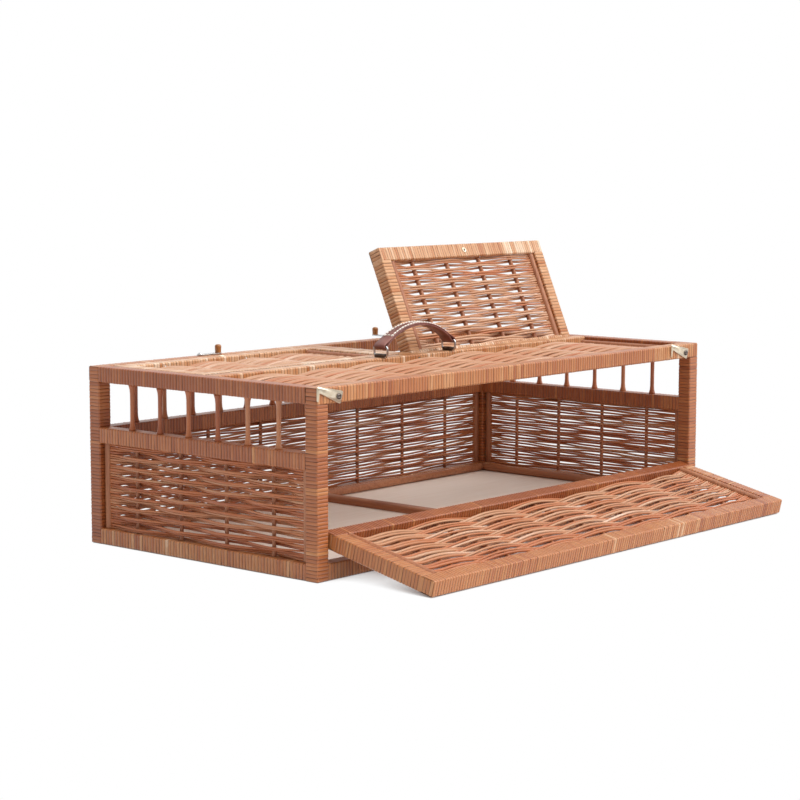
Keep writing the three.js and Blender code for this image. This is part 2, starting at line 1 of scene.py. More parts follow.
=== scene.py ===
# %% [markdown]
# # A wicker pigeon basket
# The basket is a frame of square bars wound close with cane, filled with panels of woven willow.
# A flap lets down in front, and two lids lie on top behind a bar with a leather handle.
# The solids of the frame give every place and size; this lesson dresses them, piece by piece.

# %% Load the frame
import json
import math
import bpy
import bmesh
from mathutils import Matrix, Vector


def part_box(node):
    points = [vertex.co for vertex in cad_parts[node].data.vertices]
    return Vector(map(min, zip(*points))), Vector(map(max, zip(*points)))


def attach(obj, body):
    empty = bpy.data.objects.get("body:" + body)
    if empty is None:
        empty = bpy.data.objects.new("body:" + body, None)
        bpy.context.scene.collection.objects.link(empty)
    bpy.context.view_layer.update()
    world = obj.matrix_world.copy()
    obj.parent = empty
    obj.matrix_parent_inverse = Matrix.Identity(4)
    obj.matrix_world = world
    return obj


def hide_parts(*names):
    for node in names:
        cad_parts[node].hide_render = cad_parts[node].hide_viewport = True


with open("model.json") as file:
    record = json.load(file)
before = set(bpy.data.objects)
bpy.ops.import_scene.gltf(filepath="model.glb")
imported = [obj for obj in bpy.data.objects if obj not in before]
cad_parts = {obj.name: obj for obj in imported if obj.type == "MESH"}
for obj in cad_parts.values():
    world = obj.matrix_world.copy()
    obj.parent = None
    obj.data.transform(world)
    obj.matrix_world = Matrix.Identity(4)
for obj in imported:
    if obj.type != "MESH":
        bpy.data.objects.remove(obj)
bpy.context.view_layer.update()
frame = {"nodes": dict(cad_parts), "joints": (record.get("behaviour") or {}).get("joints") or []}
scene = bpy.context.scene


# %% [markdown]
# ## Camera
# The picture was taken from the front left, a little above the basket, with a long lens.
# The camera stands where a fit to the basket's straight edges puts it.

# %% Camera
def holder(name, data):
    made = bpy.data.objects.new(name, data)
    scene.collection.objects.link(made)
    return made


eye = bpy.data.cameras.new("photo_eye")
eye.lens, eye.sensor_width = 93.67, 36.0
eye_stand = holder("photo_eye", eye)
eye_stand.location = (-2.1350, -1.6427, 0.4898)
eye_stand.rotation_euler = (math.radians(83.405), math.radians(-0.04), math.radians(-49.037))
scene.camera = eye_stand
print("camera at", tuple(round(v, 3) for v in eye_stand.location))


# %% [markdown]
# ## Small helpers
# They serve every material and node tree below. The first turns a colour written as sRGB hex into the
# linear values that Blender mixes, the next empties a node tree, and plug sets or links the inputs of a
# node. The last adds a node. Its inputs come in order or by name, and a kind can carry its operation after
# a colon.

# %% Helpers for colours and nodes
def hex_colour(text):
    parts = [int(text[i:i + 2], 16) / 255 for i in (1, 3, 5)]
    return [c / 12.92 if c <= 0.04045 else ((c + 0.055) / 1.055) ** 2.4 for c in parts] + [1.0]


def empty_tree(block):
    block.use_nodes = True
    block.node_tree.nodes.clear()
    return block.node_tree


def plug(tree, node, inputs):
    for key, value in inputs.items():
        if isinstance(value, bpy.types.Node):
            value = value.outputs[0]
        if isinstance(value, bpy.types.NodeSocket):
            tree.links.new(value, node.inputs[key])
        else:
            node.inputs[key].default_value = value


def add(tree, kind, *inputs, steps=(), **settings):
    kind, _, operation = kind.partition(":")
    node = tree.nodes.new(kind)
    if operation:
        node.operation = operation
    for name, value in settings.items():
        setattr(node, name, value)
    plug(tree, node, inputs[0] if inputs and isinstance(inputs[0], dict) else dict(enumerate(inputs)))
    for i, (place, text) in enumerate(steps):
        stops = node.color_ramp.elements
        stop = stops[i] if i < len(stops) else stops.new(place)
        stop.position, stop.color = place, hex_colour(text)
    return node


print("cane in linear light", [round(c, 3) for c in hex_colour("#C4885C")])

# %% [markdown]
# Some kinds of nodes come up again and again, so they get short names. A maths node is named for what it
# does.

# %% Short names for nodes
LARGER, TIMES, TIMES_PLUS, PLUS, MINUS, OVER, FLOOR, COSINE, POWER, SIZE_OF, ABOVE, BELOW = (
    "ShaderNodeMath:" + name for name in (
        "MAXIMUM", "MULTIPLY", "MULTIPLY_ADD", "ADD", "SUBTRACT", "DIVIDE", "FLOOR", "COSINE", "POWER",
        "ABSOLUTE", "GREATER_THAN", "LESS_THAN"))
RANGE, NOISE, RAMP, POINT, VECTOR, COORDINATES, ATTRIBUTE, BUMP = (
    "ShaderNode" + name for name in (
        "MapRange", "TexNoise", "ValToRGB", "CombineXYZ", "VectorMath:", "TexCoord", "Attribute", "Bump"))
print("a sum is a", PLUS)

# %% [markdown]
# ## Studio
# The studio is white and softly lit: one broad box hangs overhead and another stands in front, a little to
# the right, so the tops are brightest and the left end lies in shade. Lamps far away with a wide angle give
# the same soft shadows as real boxes, with nothing to place. The surroundings are white where the camera
# looks, and so is the backdrop behind the basket in reflections. The rest of the room gives a dim even
# light.

# %% Lamps
for name, energy, width, toward in (("top_box", 1.9, 64, (0.05, -0.3, 0.95)),
                                    ("front_box", 1.65, 50, (0.36, -0.74, 0.57))):
    lamp = bpy.data.lights.new(name, "SUN")
    lamp.energy, lamp.angle = energy, math.radians(width)
    holder(name, lamp).rotation_euler = Vector(toward).to_track_quat("Z", "Y").to_euler()

BACKDROP, ROOM = (0.6, 0.75, 0.28), 0.4
world = bpy.data.worlds.new("white_studio")
sky = empty_tree(world)
rays = add(sky, "ShaderNodeLightPath")
seen = add(sky, LARGER, rays.outputs["Is Camera Ray"], rays.outputs["Is Transmission Ray"])
way = add(sky, VECTOR + "DOT_PRODUCT", add(sky, COORDINATES), BACKDROP)
drop = add(sky, RANGE, {"Value": way.outputs["Value"], "From Min": 0.0, "From Max": 0.5})
drop = add(sky, TIMES, drop, rays.outputs["Is Glossy Ray"])
seen = add(sky, LARGER, seen, drop)
level = add(sky, RANGE, {"Value": seen, "To Min": ROOM, "To Max": 1.0})
backing = add(sky, "ShaderNodeBackground", {"Color": (1, 1, 1, 1), "Strength": level})
add(sky, "ShaderNodeOutputWorld", {"Surface": backing})
scene.world = world
scene.view_settings.view_transform = "Standard"
print("lamps", [lamp.name for lamp in bpy.data.lights])


# %% [markdown]
# The floor is a plain sheet of pale paper. Seen directly or in a reflection it is white where nothing stands
# near. Close to the basket and under it the paper shows as it is lit, so the shadow stays.

# %% Floor
def new_mesh(name, verts, faces, edges=(), **values):
    mesh = bpy.data.meshes.new(name)
    mesh.from_pydata(verts, edges, faces)
    for label, numbers in values.items():
        mesh.attributes.new(label, "FLOAT", "POINT").data.foreach_set("value", numbers)
    return mesh


# The ground that the basket and its flap cover, and how near to its rim the paper turns white.
FOOT_CENTRE, FOOT_HALF = (0.0, 0.11, 0.0), (0.378, 0.27, 0.0)
SHADOW_REACH, SHADOW_FROM, SHADOW_TO = 0.045, -0.10, -0.01
FLOOR_HALF, FLOOR_Z = 6, -0.0005
paper = bpy.data.materials.new("studio_paper")
sheet = empty_tree(paper)
rays = add(sheet, "ShaderNodeLightPath")
seen = add(sheet, LARGER, rays.outputs["Is Camera Ray"], rays.outputs["Is Transmission Ray"])
seen = add(sheet, LARGER, seen, rays.outputs["Is Glossy Ray"])
near = add(sheet, "ShaderNodeAmbientOcclusion", {"Distance": SHADOW_REACH}, samples=16)
clear = add(sheet, RANGE, {"Value": near.outputs["AO"], "From Min": 0.05, "From Max": 0.5})
from_middle = add(sheet, VECTOR + "SUBTRACT", add(sheet, COORDINATES).outputs["Object"], FOOT_CENTRE)
from_middle = add(sheet, VECTOR + "ABSOLUTE", from_middle)
outside = add(sheet, VECTOR + "SUBTRACT", from_middle, FOOT_HALF)
outside = add(sheet, "ShaderNodeSeparateXYZ", outside)
outside = add(sheet, LARGER, outside.outputs[0], outside.outputs[1])
outside = add(sheet, RANGE, {"Value": outside, "From Min": SHADOW_FROM, "From Max": SHADOW_TO})
clear = add(sheet, TIMES, clear, outside)
matt = add(sheet, "ShaderNodeBsdfDiffuse", {"Color": (0.9, 0.9, 0.9, 1)})
white = add(sheet, "ShaderNodeEmission", {"Color": (1, 1, 1, 1), "Strength": 1.0})
looked_at = add(sheet, "ShaderNodeMixShader", clear, matt, white)
both = add(sheet, "ShaderNodeMixShader", seen, matt, looked_at)
add(sheet, "ShaderNodeOutputMaterial", {"Surface": both})

rim = [(x * FLOOR_HALF, y * FLOOR_HALF, FLOOR_Z) for x, y in ((-1, -1), (1, -1), (1, 1), (-1, 1))]
floor = holder("studio_floor", new_mesh("studio_floor", rim, [(0, 1, 2, 3)]))
floor.data.materials.append(paper)
print("studio floor laid")


# %% [markdown]
# ## Finishes
# Cane strip is the peeled skin of a climbing palm: satin, straw to russet, with fine lengthwise fibres.
# Each turn carries three attributes from its making: tone (which strip it is), across (minus one to one over
# its width) and lay (metres along it), so the grain follows the strip round the bar.

# %% Cane
def finish(name, roughness, metallic=0.0):
    made = bpy.data.materials.new(name)
    tree = empty_tree(made)
    shader = add(tree, "ShaderNodeBsdfPrincipled", {"Roughness": roughness, "Metallic": metallic})
    add(tree, "ShaderNodeOutputMaterial", {"Surface": shader})
    return made, tree, shader


# Repeats per metre along a strip, in half its width, and from tone to tone: fibres 17 mm long, patches 40 mm.
FIBRE, PATCH = (60.0, 2.2, 91.0), (25.0, 0.2, 37.0)
RELIEF = 0.0003  # metres, the height of the bump on every finish
# Wound cane: satin strips, russet to straw, with a soft dark line painted into each groove as the shade
# between two turns.
cane, tree, shader = finish("cane_strip", roughness=0.36)
tone, across, lay = (add(tree, ATTRIBUTE, attribute_name=name).outputs["Fac"]
                     for name in ("tone", "across", "lay"))
strip_place = add(tree, POINT, lay, across, tone)
fibre_place = add(tree, VECTOR + "MULTIPLY", strip_place, FIBRE)
fibres = add(tree, NOISE, {"Vector": fibre_place, "Scale": 1.0, "Detail": 4.0})
patch_place = add(tree, VECTOR + "MULTIPLY", strip_place, PATCH)
patches = add(tree, NOISE, {"Vector": patch_place, "Scale": 1.0, "Detail": 2.0})
shade = add(tree, TIMES_PLUS, fibres, 0.28, tone)
shade = add(tree, TIMES_PLUS, patches, 0.36, shade)
shade = add(tree, MINUS, shade, 0.22)
strip_colour = add(tree, RAMP, {"Fac": shade}, steps=[
    (0.0, "#9A5229"), (0.3, "#B1693A"), (0.55, "#C07F4B"), (0.8, "#D5A47A"), (1.0, "#EBCDB0")])
# Painted shade: a strip darkens towards both its edges, where the groove between two turns lies in shade.
edge = add(tree, SIZE_OF, across)
painted_groove_shade = add(tree, RANGE, {"Value": edge, "From Min": 0.7, "From Max": 1.0, "To Min": 0.0, "To Max": 0.6})
cane_colour = add(tree, "ShaderNodeMix", {0: painted_groove_shade, 6: strip_colour, 7: hex_colour("#5A2C16")},
                  data_type="RGBA")
rough = add(tree, RANGE, {"Value": fibres, "To Min": 0.28, "To Max": 0.46})
bump = add(tree, BUMP, {"Strength": 0.2, "Distance": RELIEF, "Height": fibres})
plug(tree, shader, {"Base Color": cane_colour.outputs[2], "Roughness": rough, "Normal": bump,
                    "Coat Weight": 0.3, "Coat Roughness": 0.32})
print("made", cane.name)

# %% [markdown]
# The woven rods are whole willow shoots, boiled in their bark and then peeled, which turns them buff to
# russet. Each rod has its own tone and gets darker and lighter in long patches as the shoot grew.

# %% Willow
# Repeats per metre: patches 110 mm long and skin marks of 1.4 mm. The second value of a patch only tells the
# rods apart.
ROD_PATCH, SKIN = (9.0, 173.0, 0.0), 700.0
# Buff willow: satin skin, each rod its own tone, long soft patches.
willow, tree, shader = finish("buff_willow", roughness=0.46)
tone, lay = (add(tree, ATTRIBUTE, attribute_name=name).outputs["Fac"] for name in ("tone", "lay"))
patch_place = add(tree, VECTOR + "MULTIPLY", add(tree, POINT, lay, tone), ROD_PATCH)
patches = add(tree, NOISE, {"Vector": patch_place, "Scale": 1.0, "Detail": 3.0})
spot = add(tree, COORDINATES).outputs["Object"]
skin = add(tree, NOISE, {"Vector": spot, "Scale": SKIN, "Detail": 3.0})
shade = add(tree, TIMES_PLUS, patches, 0.7, tone)
shade = add(tree, TIMES_PLUS, skin, 0.3, shade)
shade = add(tree, MINUS, shade, 0.5)
# Its paler, greyer end is met by the panels whose tone is raised as painted light: the strip on top, the lids
# and the flap.
rod_colour = add(tree, RAMP, {"Fac": shade}, steps=[
    (0.0, "#9E522B"), (0.3, "#B96B3C"), (0.55, "#BC8058"), (0.75, "#C4936F"), (0.9, "#D8B094"),
    (1.0, "#EBD0BA")])
rough = add(tree, RANGE, {"Value": skin, "To Min": 0.32, "To Max": 0.5})
bump = add(tree, BUMP, {"Strength": 0.15, "Distance": RELIEF, "Height": skin})
plug(tree, shader, {"Base Color": rod_colour, "Roughness": rough, "Normal": bump, "Coat Weight": 0.35,
                    "Coat Roughness": 0.28})
print("made", willow.name)

# %% [markdown]
# The stakes, the floor and the bare wood under the windings are plainer woods that differ in depth of colour.
# The bare wood is painted dark as the shade that lies between the turns.
# Their grain is noise stretched along the wood: about 80 mm long and 4 mm wide, fibres a tenth of that.

# %% Plain woods
GRAIN_ALONG, GRAIN_ACROSS, CLOUDS = 12.0, 260.0, 9.0  # repeats per metre


def plain_wood(name, dark, light, along, roughness):
    made, tree, shader = finish(name, roughness)
    spot = add(tree, COORDINATES).outputs["Object"]
    stretch = [GRAIN_ALONG if axis == along else GRAIN_ACROSS for axis in "XYZ"]
    place = add(tree, VECTOR + "MULTIPLY", spot, stretch)
    grain = add(tree, NOISE, {"Vector": place, "Scale": 1.0, "Detail": 5.0, "Roughness": 0.6})
    cloud = add(tree, NOISE, {"Vector": spot, "Scale": CLOUDS, "Detail": 2.0})
    mixed = add(tree, TIMES_PLUS, cloud, 0.5, grain)
    mixed = add(tree, MINUS, mixed, 0.25)
    colour = add(tree, RAMP, {"Fac": mixed}, steps=[(0.25, dark), (0.75, light)])
    bump = add(tree, BUMP, {"Strength": 0.2, "Distance": RELIEF, "Height": grain})
    plug(tree, shader, {"Base Color": colour, "Normal": bump})
    return made


# Stake wood: brown stripped rods, satin. Core wood: the bare bar under the winding, painted dark as the shade
# that shows between the turns of cane.
stake_wood = plain_wood("stake_rod", "#8E5234", "#B97C57", "Z", 0.45)
painted_shade_core = plain_wood("bar_core", "#4A2716", "#643720", "X", 0.7)
# Peeled rod: smooth reddish buff, faint sheen.
peeled_rod = plain_wood("peeled_rod", "#985838", "#C0835C", "Y", 0.4)
# Birch plywood: pale, matt, faint long grain, painted paler than the wood to stand for more light inside the
# basket.
birch_ply_painted_light = plain_wood("birch_plywood", "#F2E4D5", "#FAEFE3", "X", 0.6)
# Varnished beech: tan, smooth, glossier.
beech = plain_wood("varnished_beech", "#8A5228", "#B5773F", "Z", 0.3)
print("plain woods made")

# %% [markdown]
# Leather is brown with a fine pebble, and its cut edges are the same hide. The thread is waxed linen.

# %% Leather and thread
PEBBLES, STAINS, TWISTS = 900.0, 55.0, 1200.0  # per metre: 1.1 mm, 18 mm and 0.8 mm
# Strap leather: waxed, brown, pebbled at about a millimetre, a little sheen on the crests.
leather, tree, shader = finish("strap_leather", roughness=0.42)
spot = add(tree, COORDINATES).outputs["Object"]
pebble = add(tree, "ShaderNodeTexVoronoi", {"Vector": spot, "Scale": PEBBLES})
stain = add(tree, NOISE, {"Vector": spot, "Scale": STAINS, "Detail": 4.0})
hide_colour = add(tree, RAMP, {"Fac": stain}, steps=[(0.3, "#6A3A32"), (0.55, "#834F45"), (0.8, "#99655A")])
rough = add(tree, RANGE, {"Value": stain, "To Min": 0.34, "To Max": 0.52})
bump = add(tree, BUMP, {"Strength": 0.3, "Distance": RELIEF, "Height": pebble})
plug(tree, shader, {"Base Color": hide_colour, "Roughness": rough, "Normal": bump})
# Waxed linen thread: off-white, twisted about once a millimetre.
thread, tree, shader = finish("linen_thread", roughness=0.7)
twist = add(tree, NOISE, {"Vector": add(tree, COORDINATES).outputs["Object"], "Scale": TWISTS})
thread_colour = add(tree, RAMP, {"Fac": twist}, steps=[(0.3, "#EFE6DA"), (0.7, "#FFFAF2")])
plug(tree, shader, {"Base Color": thread_colour})
print("made", leather.name, thread.name)

# %% [markdown]
# The metals differ in colour and polish: pale brassed hooks, bright plated wire and latches, dark iron
# staples and nails. One function makes all three, because each is a metal with fine wear that shifts colour
# and polish.

# %% Metals
MM = 1000.0  # in a metre


def metal(name, dark, light, low, high, grain_mm):
    made, tree, shader = finish(name, low, metallic=1.0)
    spot = add(tree, COORDINATES).outputs["Object"]
    wear = add(tree, NOISE, {"Vector": spot, "Scale": MM / grain_mm, "Detail": 4.0})
    colour = add(tree, RAMP, {"Fac": wear}, steps=[(0.3, dark), (0.7, light)])
    rough = add(tree, RANGE, {"Value": wear, "To Min": low, "To Max": high})
    plug(tree, shader, {"Base Color": colour, "Roughness": rough})
    return made


# Pale brass: brassed sheet, softly polished. Plated steel: bright wire and sheet. Black iron: dull.
brass = metal("pale_brass", "#E6D3B6", "#F5E8D4", 0.3, 0.46, 6.0)
plated = metal("plated_steel", "#B9BABC", "#DCDDDE", 0.16, 0.32, 5.0)
iron = metal("black_iron", "#5A524D", "#857B74", 0.36, 0.58, 3.0)
print("metals made")


# %% [markdown]
# ## Winding the bars
# On the real basket a long strip of cane is wound round every bar, turn against turn. Modelling one turn and
# laying it along each bar with Geometry Nodes gives real grooves that catch the light, and lets each turn
# sit a little askew and have its own tone. A turn is given point by point, and so are most shapes below. Two
# helpers serve them all: one makes the faces between rows of points, and one turns every face outwards.

# %% Faces between rows of points
def quads(rows, columns, loop_rows=True, loop_columns=True):
    faces = []
    for i in range(rows if loop_rows else rows - 1):
        for j in range(columns if loop_columns else columns - 1):
            a, b, k = i * columns, (i + 1) % rows * columns, (j + 1) % columns
            faces.append((a + j, a + k, b + k, b + j))
    return faces


def outwards(mesh):
    shape = bmesh.new()
    shape.from_mesh(mesh)
    bmesh.ops.recalc_face_normals(shape, faces=shape.faces)
    shape.to_mesh(mesh)
    shape.free()
    return mesh


print("a closed band of 4 by 6 points has", len(quads(4, 6, loop_rows=False)), "faces")

# %% [markdown]
# One turn is a square ring with narrow soft corners. Points beside each corner keep its flat sides flat to
# the light, and the strip sinks a little at both its edges, which makes the groove between two turns.

# %% One turn of cane
BAR, CORNER, BESIDE = 0.020, 0.0015, 0.0007
STRIP = [(-1.0, 0.00060), (-0.66, 0.00005), (0.66, 0.00005), (1.0, 0.00060)]  # place across, how far sunk


def turn_of_cane(name, width, half_z=BAR / 2, big_corner=CORNER):
    """A ring round the X axis. big_corner is the radius of the corner at -Y +Z."""
    outline = []
    for turn, (sy, sz) in enumerate([(1, 1), (-1, 1), (-1, -1), (1, -1)]):
        r = big_corner if (sy, sz) == (-1, 1) else CORNER
        steps = 3 if r > CORNER else 1
        angles = [math.radians(90 * (turn + i / steps)) for i in range(steps + 1)]
        ways = [(math.cos(a), math.sin(a)) for a in angles]
        rim = [(sy * (BAR / 2 - r) + r * ny, sz * (half_z - r) + r * nz, ny, nz) for ny, nz in ways]
        y, z, ny, nz = rim[0]
        rim.insert(0, (y + nz * BESIDE, z - ny * BESIDE, ny, nz))
        y, z, ny, nz = rim[-1]
        rim.append((y - nz * BESIDE, z + ny * BESIDE, ny, nz))
        outline += rim
    verts, lays, walked = [], [], 0.0
    for i, (y, z, ny, nz) in enumerate(outline):
        if i:
            walked += math.hypot(y - outline[i - 1][0], z - outline[i - 1][1])
        verts += [(side * width / 2, y - ny * sunk, z - nz * sunk) for side, sunk in STRIP]
        lays += [walked] * len(STRIP)
    return outwards(new_mesh(name, verts, quads(len(outline), len(STRIP), loop_columns=False),
                             across=[side for side, sunk in STRIP] * len(outline), lay=lays))


print("a turn has", len(turn_of_cane("try_turn", 0.005).polygons), "faces")


# %% [markdown]
# The tree that repeats a shape along paths. A path is an edge line whose points carry an up direction. The
# tree turns it to a curve, spaces points along it and sets the shape on each with its X along the path and
# its Z up, a little askew and a little larger or smaller.

# %% Tree: repeat a shape along a path
def new_tree(name, inputs):
    tree = bpy.data.node_groups.new(name, "GeometryNodeTree")
    tree.interface.new_socket("Path", in_out="INPUT", socket_type="NodeSocketGeometry")
    for label, kind in inputs:
        tree.interface.new_socket(label, in_out="INPUT", socket_type="NodeSocket" + kind)
    tree.interface.new_socket("Made", in_out="OUTPUT", socket_type="NodeSocketGeometry")
    return tree, add(tree, "NodeGroupInput").outputs


RANDOM, INDEX = "FunctionNodeRandomValue", "GeometryNodeInputIndex"
STORE, NAMED = "GeometryNodeStoreNamedAttribute", "GeometryNodeInputNamedAttribute"
INSTANCES, REALIZE = "GeometryNodeInstanceOnPoints", "GeometryNodeRealizeInstances"
RESAMPLE, COAT = "GeometryNodeResampleCurve", "GeometryNodeSetMaterial"
LEAN = (0.4, 1.0, 1.0)  # shares of Askew that a turn leans by, about its three axes
repeat, given = new_tree("repeat_along_path", [
    ("Shape", "Object"), ("Spacing", "Float"), ("Askew", "Float"), ("Swell", "Float"),
    ("Strip Length", "Int"), ("Tone", "Float"), ("Seed", "Int"), ("Finish", "Material")])
path = add(repeat, "GeometryNodeMeshToCurve", given["Path"])
spaced = add(repeat, RESAMPLE, {0: path, 3: given["Spacing"]}, mode="LENGTH")
up = add(repeat, NAMED, "up", data_type="FLOAT_VECTOR")
along = add(repeat, "GeometryNodeInputTangent")
facing = add(repeat, "FunctionNodeAxesToRotation", along, up, primary_axis="X", secondary_axis="Z")
number = add(repeat, INDEX)
most = add(repeat, VECTOR + "SCALE", {0: LEAN, "Scale": given["Askew"]})
least = add(repeat, VECTOR + "SCALE", {0: most, "Scale": -1.0})
tilt = add(repeat, RANDOM, {0: least, 1: most, 7: number, 8: given["Seed"]}, data_type="FLOAT_VECTOR")
tilt = add(repeat, "FunctionNodeEulerToRotation", tilt)
facing = add(repeat, "FunctionNodeRotateRotation", facing, tilt, rotation_space="LOCAL")
least = add(repeat, MINUS, 1.0, given["Swell"])
most = add(repeat, PLUS, 1.0, given["Swell"])
size = add(repeat, RANDOM, {2: least, 3: most, 7: number, 8: given["Seed"]})
shape = add(repeat, "GeometryNodeObjectInfo", given["Shape"])
smooth = add(repeat, "GeometryNodeSetShadeSmooth", shape.outputs["Geometry"])
laid = add(repeat, INSTANCES, {0: spaced, 2: smooth, 5: facing, 6: size.outputs[1]})
print("repeat tree lays its shapes")

# %% [markdown]
# Every shape that is laid has a tone. Part of it changes with each turn, part only when a new strip begins,
# and a few turns are much paler or darker than their neighbours. The tree ends by making the copies real,
# because only a real mesh is kept, and by setting the finish.

# %% Tree: give each turn its tone
# Turns drawn above PALE_FROM are paler by PALE, and those below DARK_TO are darker by DARK.
PALE_FROM, PALE, DARK_TO, DARK = 0.975, 0.2, 0.035, -0.15
EACH, RUN = 0.24, 0.3  # how far the tone changes with each turn, and with each strip
each = add(repeat, RANDOM, {2: 0.0, 3: 1.0, 7: number, 8: given["Seed"]})
strip = add(repeat, OVER, number, given["Strip Length"])
strip = add(repeat, FLOOR, strip)
run = add(repeat, RANDOM, {2: 0.0, 3: RUN, 7: strip, 8: given["Seed"]})
pale = add(repeat, ABOVE, each.outputs[1], PALE_FROM)
dark = add(repeat, BELOW, each.outputs[1], DARK_TO)
mixed = add(repeat, TIMES_PLUS, each.outputs[1], EACH, run.outputs[1])
mixed = add(repeat, TIMES_PLUS, pale, PALE, mixed)
mixed = add(repeat, TIMES_PLUS, dark, DARK, mixed)
# The Tone input shifts a whole piece; the pieces use it to paint light and shade, paler where light falls on
# them and darker where they lie in shade.
mixed = add(repeat, PLUS, mixed, given["Tone"])
toned = add(repeat, STORE, {0: laid, 2: "tone", 3: mixed}, domain="INSTANCE")
real = add(repeat, REALIZE, toned)
coated = add(repeat, COAT, {0: real, 2: given["Finish"]})
add(repeat, "NodeGroupOutput", coated)
print("repeat tree has", len(repeat.nodes), "nodes")


# %% [markdown]
# Helpers that run a tree: one writes paths as edge lines with their up direction, one sets the inputs by
# socket identifier, evaluates the object and keeps the result as a plain mesh, and one repeats a shape along
# paths.

# %% Running a tree
def paths_mesh(name, lines):
    """lines: (list of points, list of ups or one up)."""
    verts, edges, ups = [], [], []
    for points, up in lines:
        first = len(verts)
        verts += [tuple(p) for p in points]
        ups += [tuple(u) for u in (up if isinstance(up, list) else [up] * len(points))]
        edges += [(first + i, first + i + 1) for i in range(len(points) - 1)]
    mesh = new_mesh(name, verts, [], edges)
    mesh.attributes.new("up", "FLOAT_VECTOR", "POINT").data.foreach_set("vector", [c for u in ups for c in u])
    return mesh


def grow(name, mesh, tree, **values):
    base = holder(name + "_path", mesh)
    maker = base.modifiers.new("maker", "NODES")
    maker.node_group = tree
    sockets = {s.name: s.identifier for s in tree.interface.items_tree if s.in_out == "INPUT"}
    for label, value in values.items():
        maker[sockets[label.replace("_", " ")]] = value
    made = bpy.data.meshes.new_from_object(base.evaluated_get(bpy.context.evaluated_depsgraph_get()))
    made.name = name
    base.modifiers.remove(maker)
    bpy.data.objects.remove(base)
    return made


def repeated(name, shape, lines, spacing, **values):
    stand = holder(name + "_shape", shape)
    made = grow(name, paths_mesh(name, lines), repeat, Shape=stand, Spacing=spacing, **values)
    bpy.data.objects.remove(stand)
    return made


print("inputs of the repeat tree", [s.name for s in repeat.interface.items_tree if s.in_out == "INPUT"])


# %% [markdown]
# A piece is often made of several meshes, each with its own finish, so they are joined. Then the piece gets
# its body, and the solids that it stands for are hidden.

# %% Joining meshes and fitting a piece
def join(name, meshes):
    parts = [holder(name, mesh) for mesh in meshes]
    if len(parts) > 1:
        with bpy.context.temp_override(active_object=parts[0], object=parts[0], selected_objects=parts,
                                       selected_editable_objects=parts):
            bpy.ops.object.join()
    return parts[0]


def fit(made, body, slot, *nodes):
    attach(made, body)
    if nodes:
        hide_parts(*nodes)
    print(made.name, "on", body, sum(len(p.vertices) - 2 for p in made.data.polygons), "triangles")


print("solids to dress", len(frame["nodes"]))

# %% [markdown]
# A bar is a line with an up direction. The boxes of the solids give the lines: the longest side of a bar's
# box is its direction. The box of a middle rail takes in its spindles, so only its lowest 20 mm count.

# %% Bars from the solids' boxes
ALONG, BACK, UP = (Vector(axis) for axis in ((1, 0, 0), (0, 1, 0), (0, 0, 1)))


def corners(node):
    return [Vector(corner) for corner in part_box(node)]


def longest(sides):
    return max(range(3), key=lambda i: sides[i])


def bar_line(node, rail_only=False):
    low, high = corners(node)
    if rail_only:
        high.z = low.z + BAR
    axis = longest(high - low)
    start, end = (low + high) / 2, (low + high) / 2
    start[axis], end[axis] = low[axis], high[axis]
    return start, end, BACK if axis == 2 else UP


print("front rail line", [tuple(round(c, 4) for c in p) for p in bar_line("bottom_rail_front")[:2]])

# %% [markdown]
# Under the winding lies the bare bar, a bevelled box painted dark as the shade between the turns. The pitch
# of the winding is eased so that a whole number of turns fills the bar.

# %% Winding a bar
CORE_HALF, CORE_EDGE, CORE_SHY = 0.0093, 0.0014, 0.001
TIGHT, SNUG = 0.985, 0.9995  # a turn in its pitch, and a pitch that lets the last turn fit


def bar_core(name, start, end, up, half):
    along = (end - start).normalized()
    shape = bmesh.new()
    bmesh.ops.create_cube(shape, size=1.0)
    turn = Matrix((along, up.cross(along), up)).transposed().to_4x4()
    size = Matrix.Diagonal(((end - start).length - CORE_SHY, 2 * half, 2 * half, 1.0))
    bmesh.ops.transform(shape, matrix=Matrix.Translation((start + end) / 2) @ turn @ size, verts=shape.verts)
    bmesh.ops.bevel(shape, geom=list(shape.edges), offset=CORE_EDGE, segments=2, affect="EDGES")
    mesh = bpy.data.meshes.new(name)
    shape.to_mesh(mesh)
    shape.free()
    mesh.materials.append(painted_shade_core)
    return mesh


def wound(name, bars, pitch, seed, inset=0.0, core=CORE_HALF, tone=0.0, **turn):
    lines, paths = [], []
    for start, end, up in bars:
        along = (end - start).normalized()
        lines.append((start + along * inset, end - along * inset, up))
    length = (lines[0][1] - lines[0][0]).length
    pitch = length / round(length / pitch)
    for start, end, up in lines:
        along = (end - start).normalized()
        paths.append(([start + along * pitch / 2, end - along * pitch / 2], up))
    turns = repeated(name, turn_of_cane(name + "_turn", pitch * TIGHT, **turn), paths, pitch * SNUG,
                     Askew=0.020, Swell=0.009, Strip_Length=19, Tone=tone, Seed=seed, Finish=cane)
    return [turns] + [bar_core(name + "_core", *line, core) for line in lines]


print("turns are", TIGHT, "of their pitch wide")

# %% [markdown]
# The posts are wound the whole way up. Over their top 20 mm the winding of the long rails lies in front, so
# there the posts' turns are drawn in a little and show only on the outer ends.

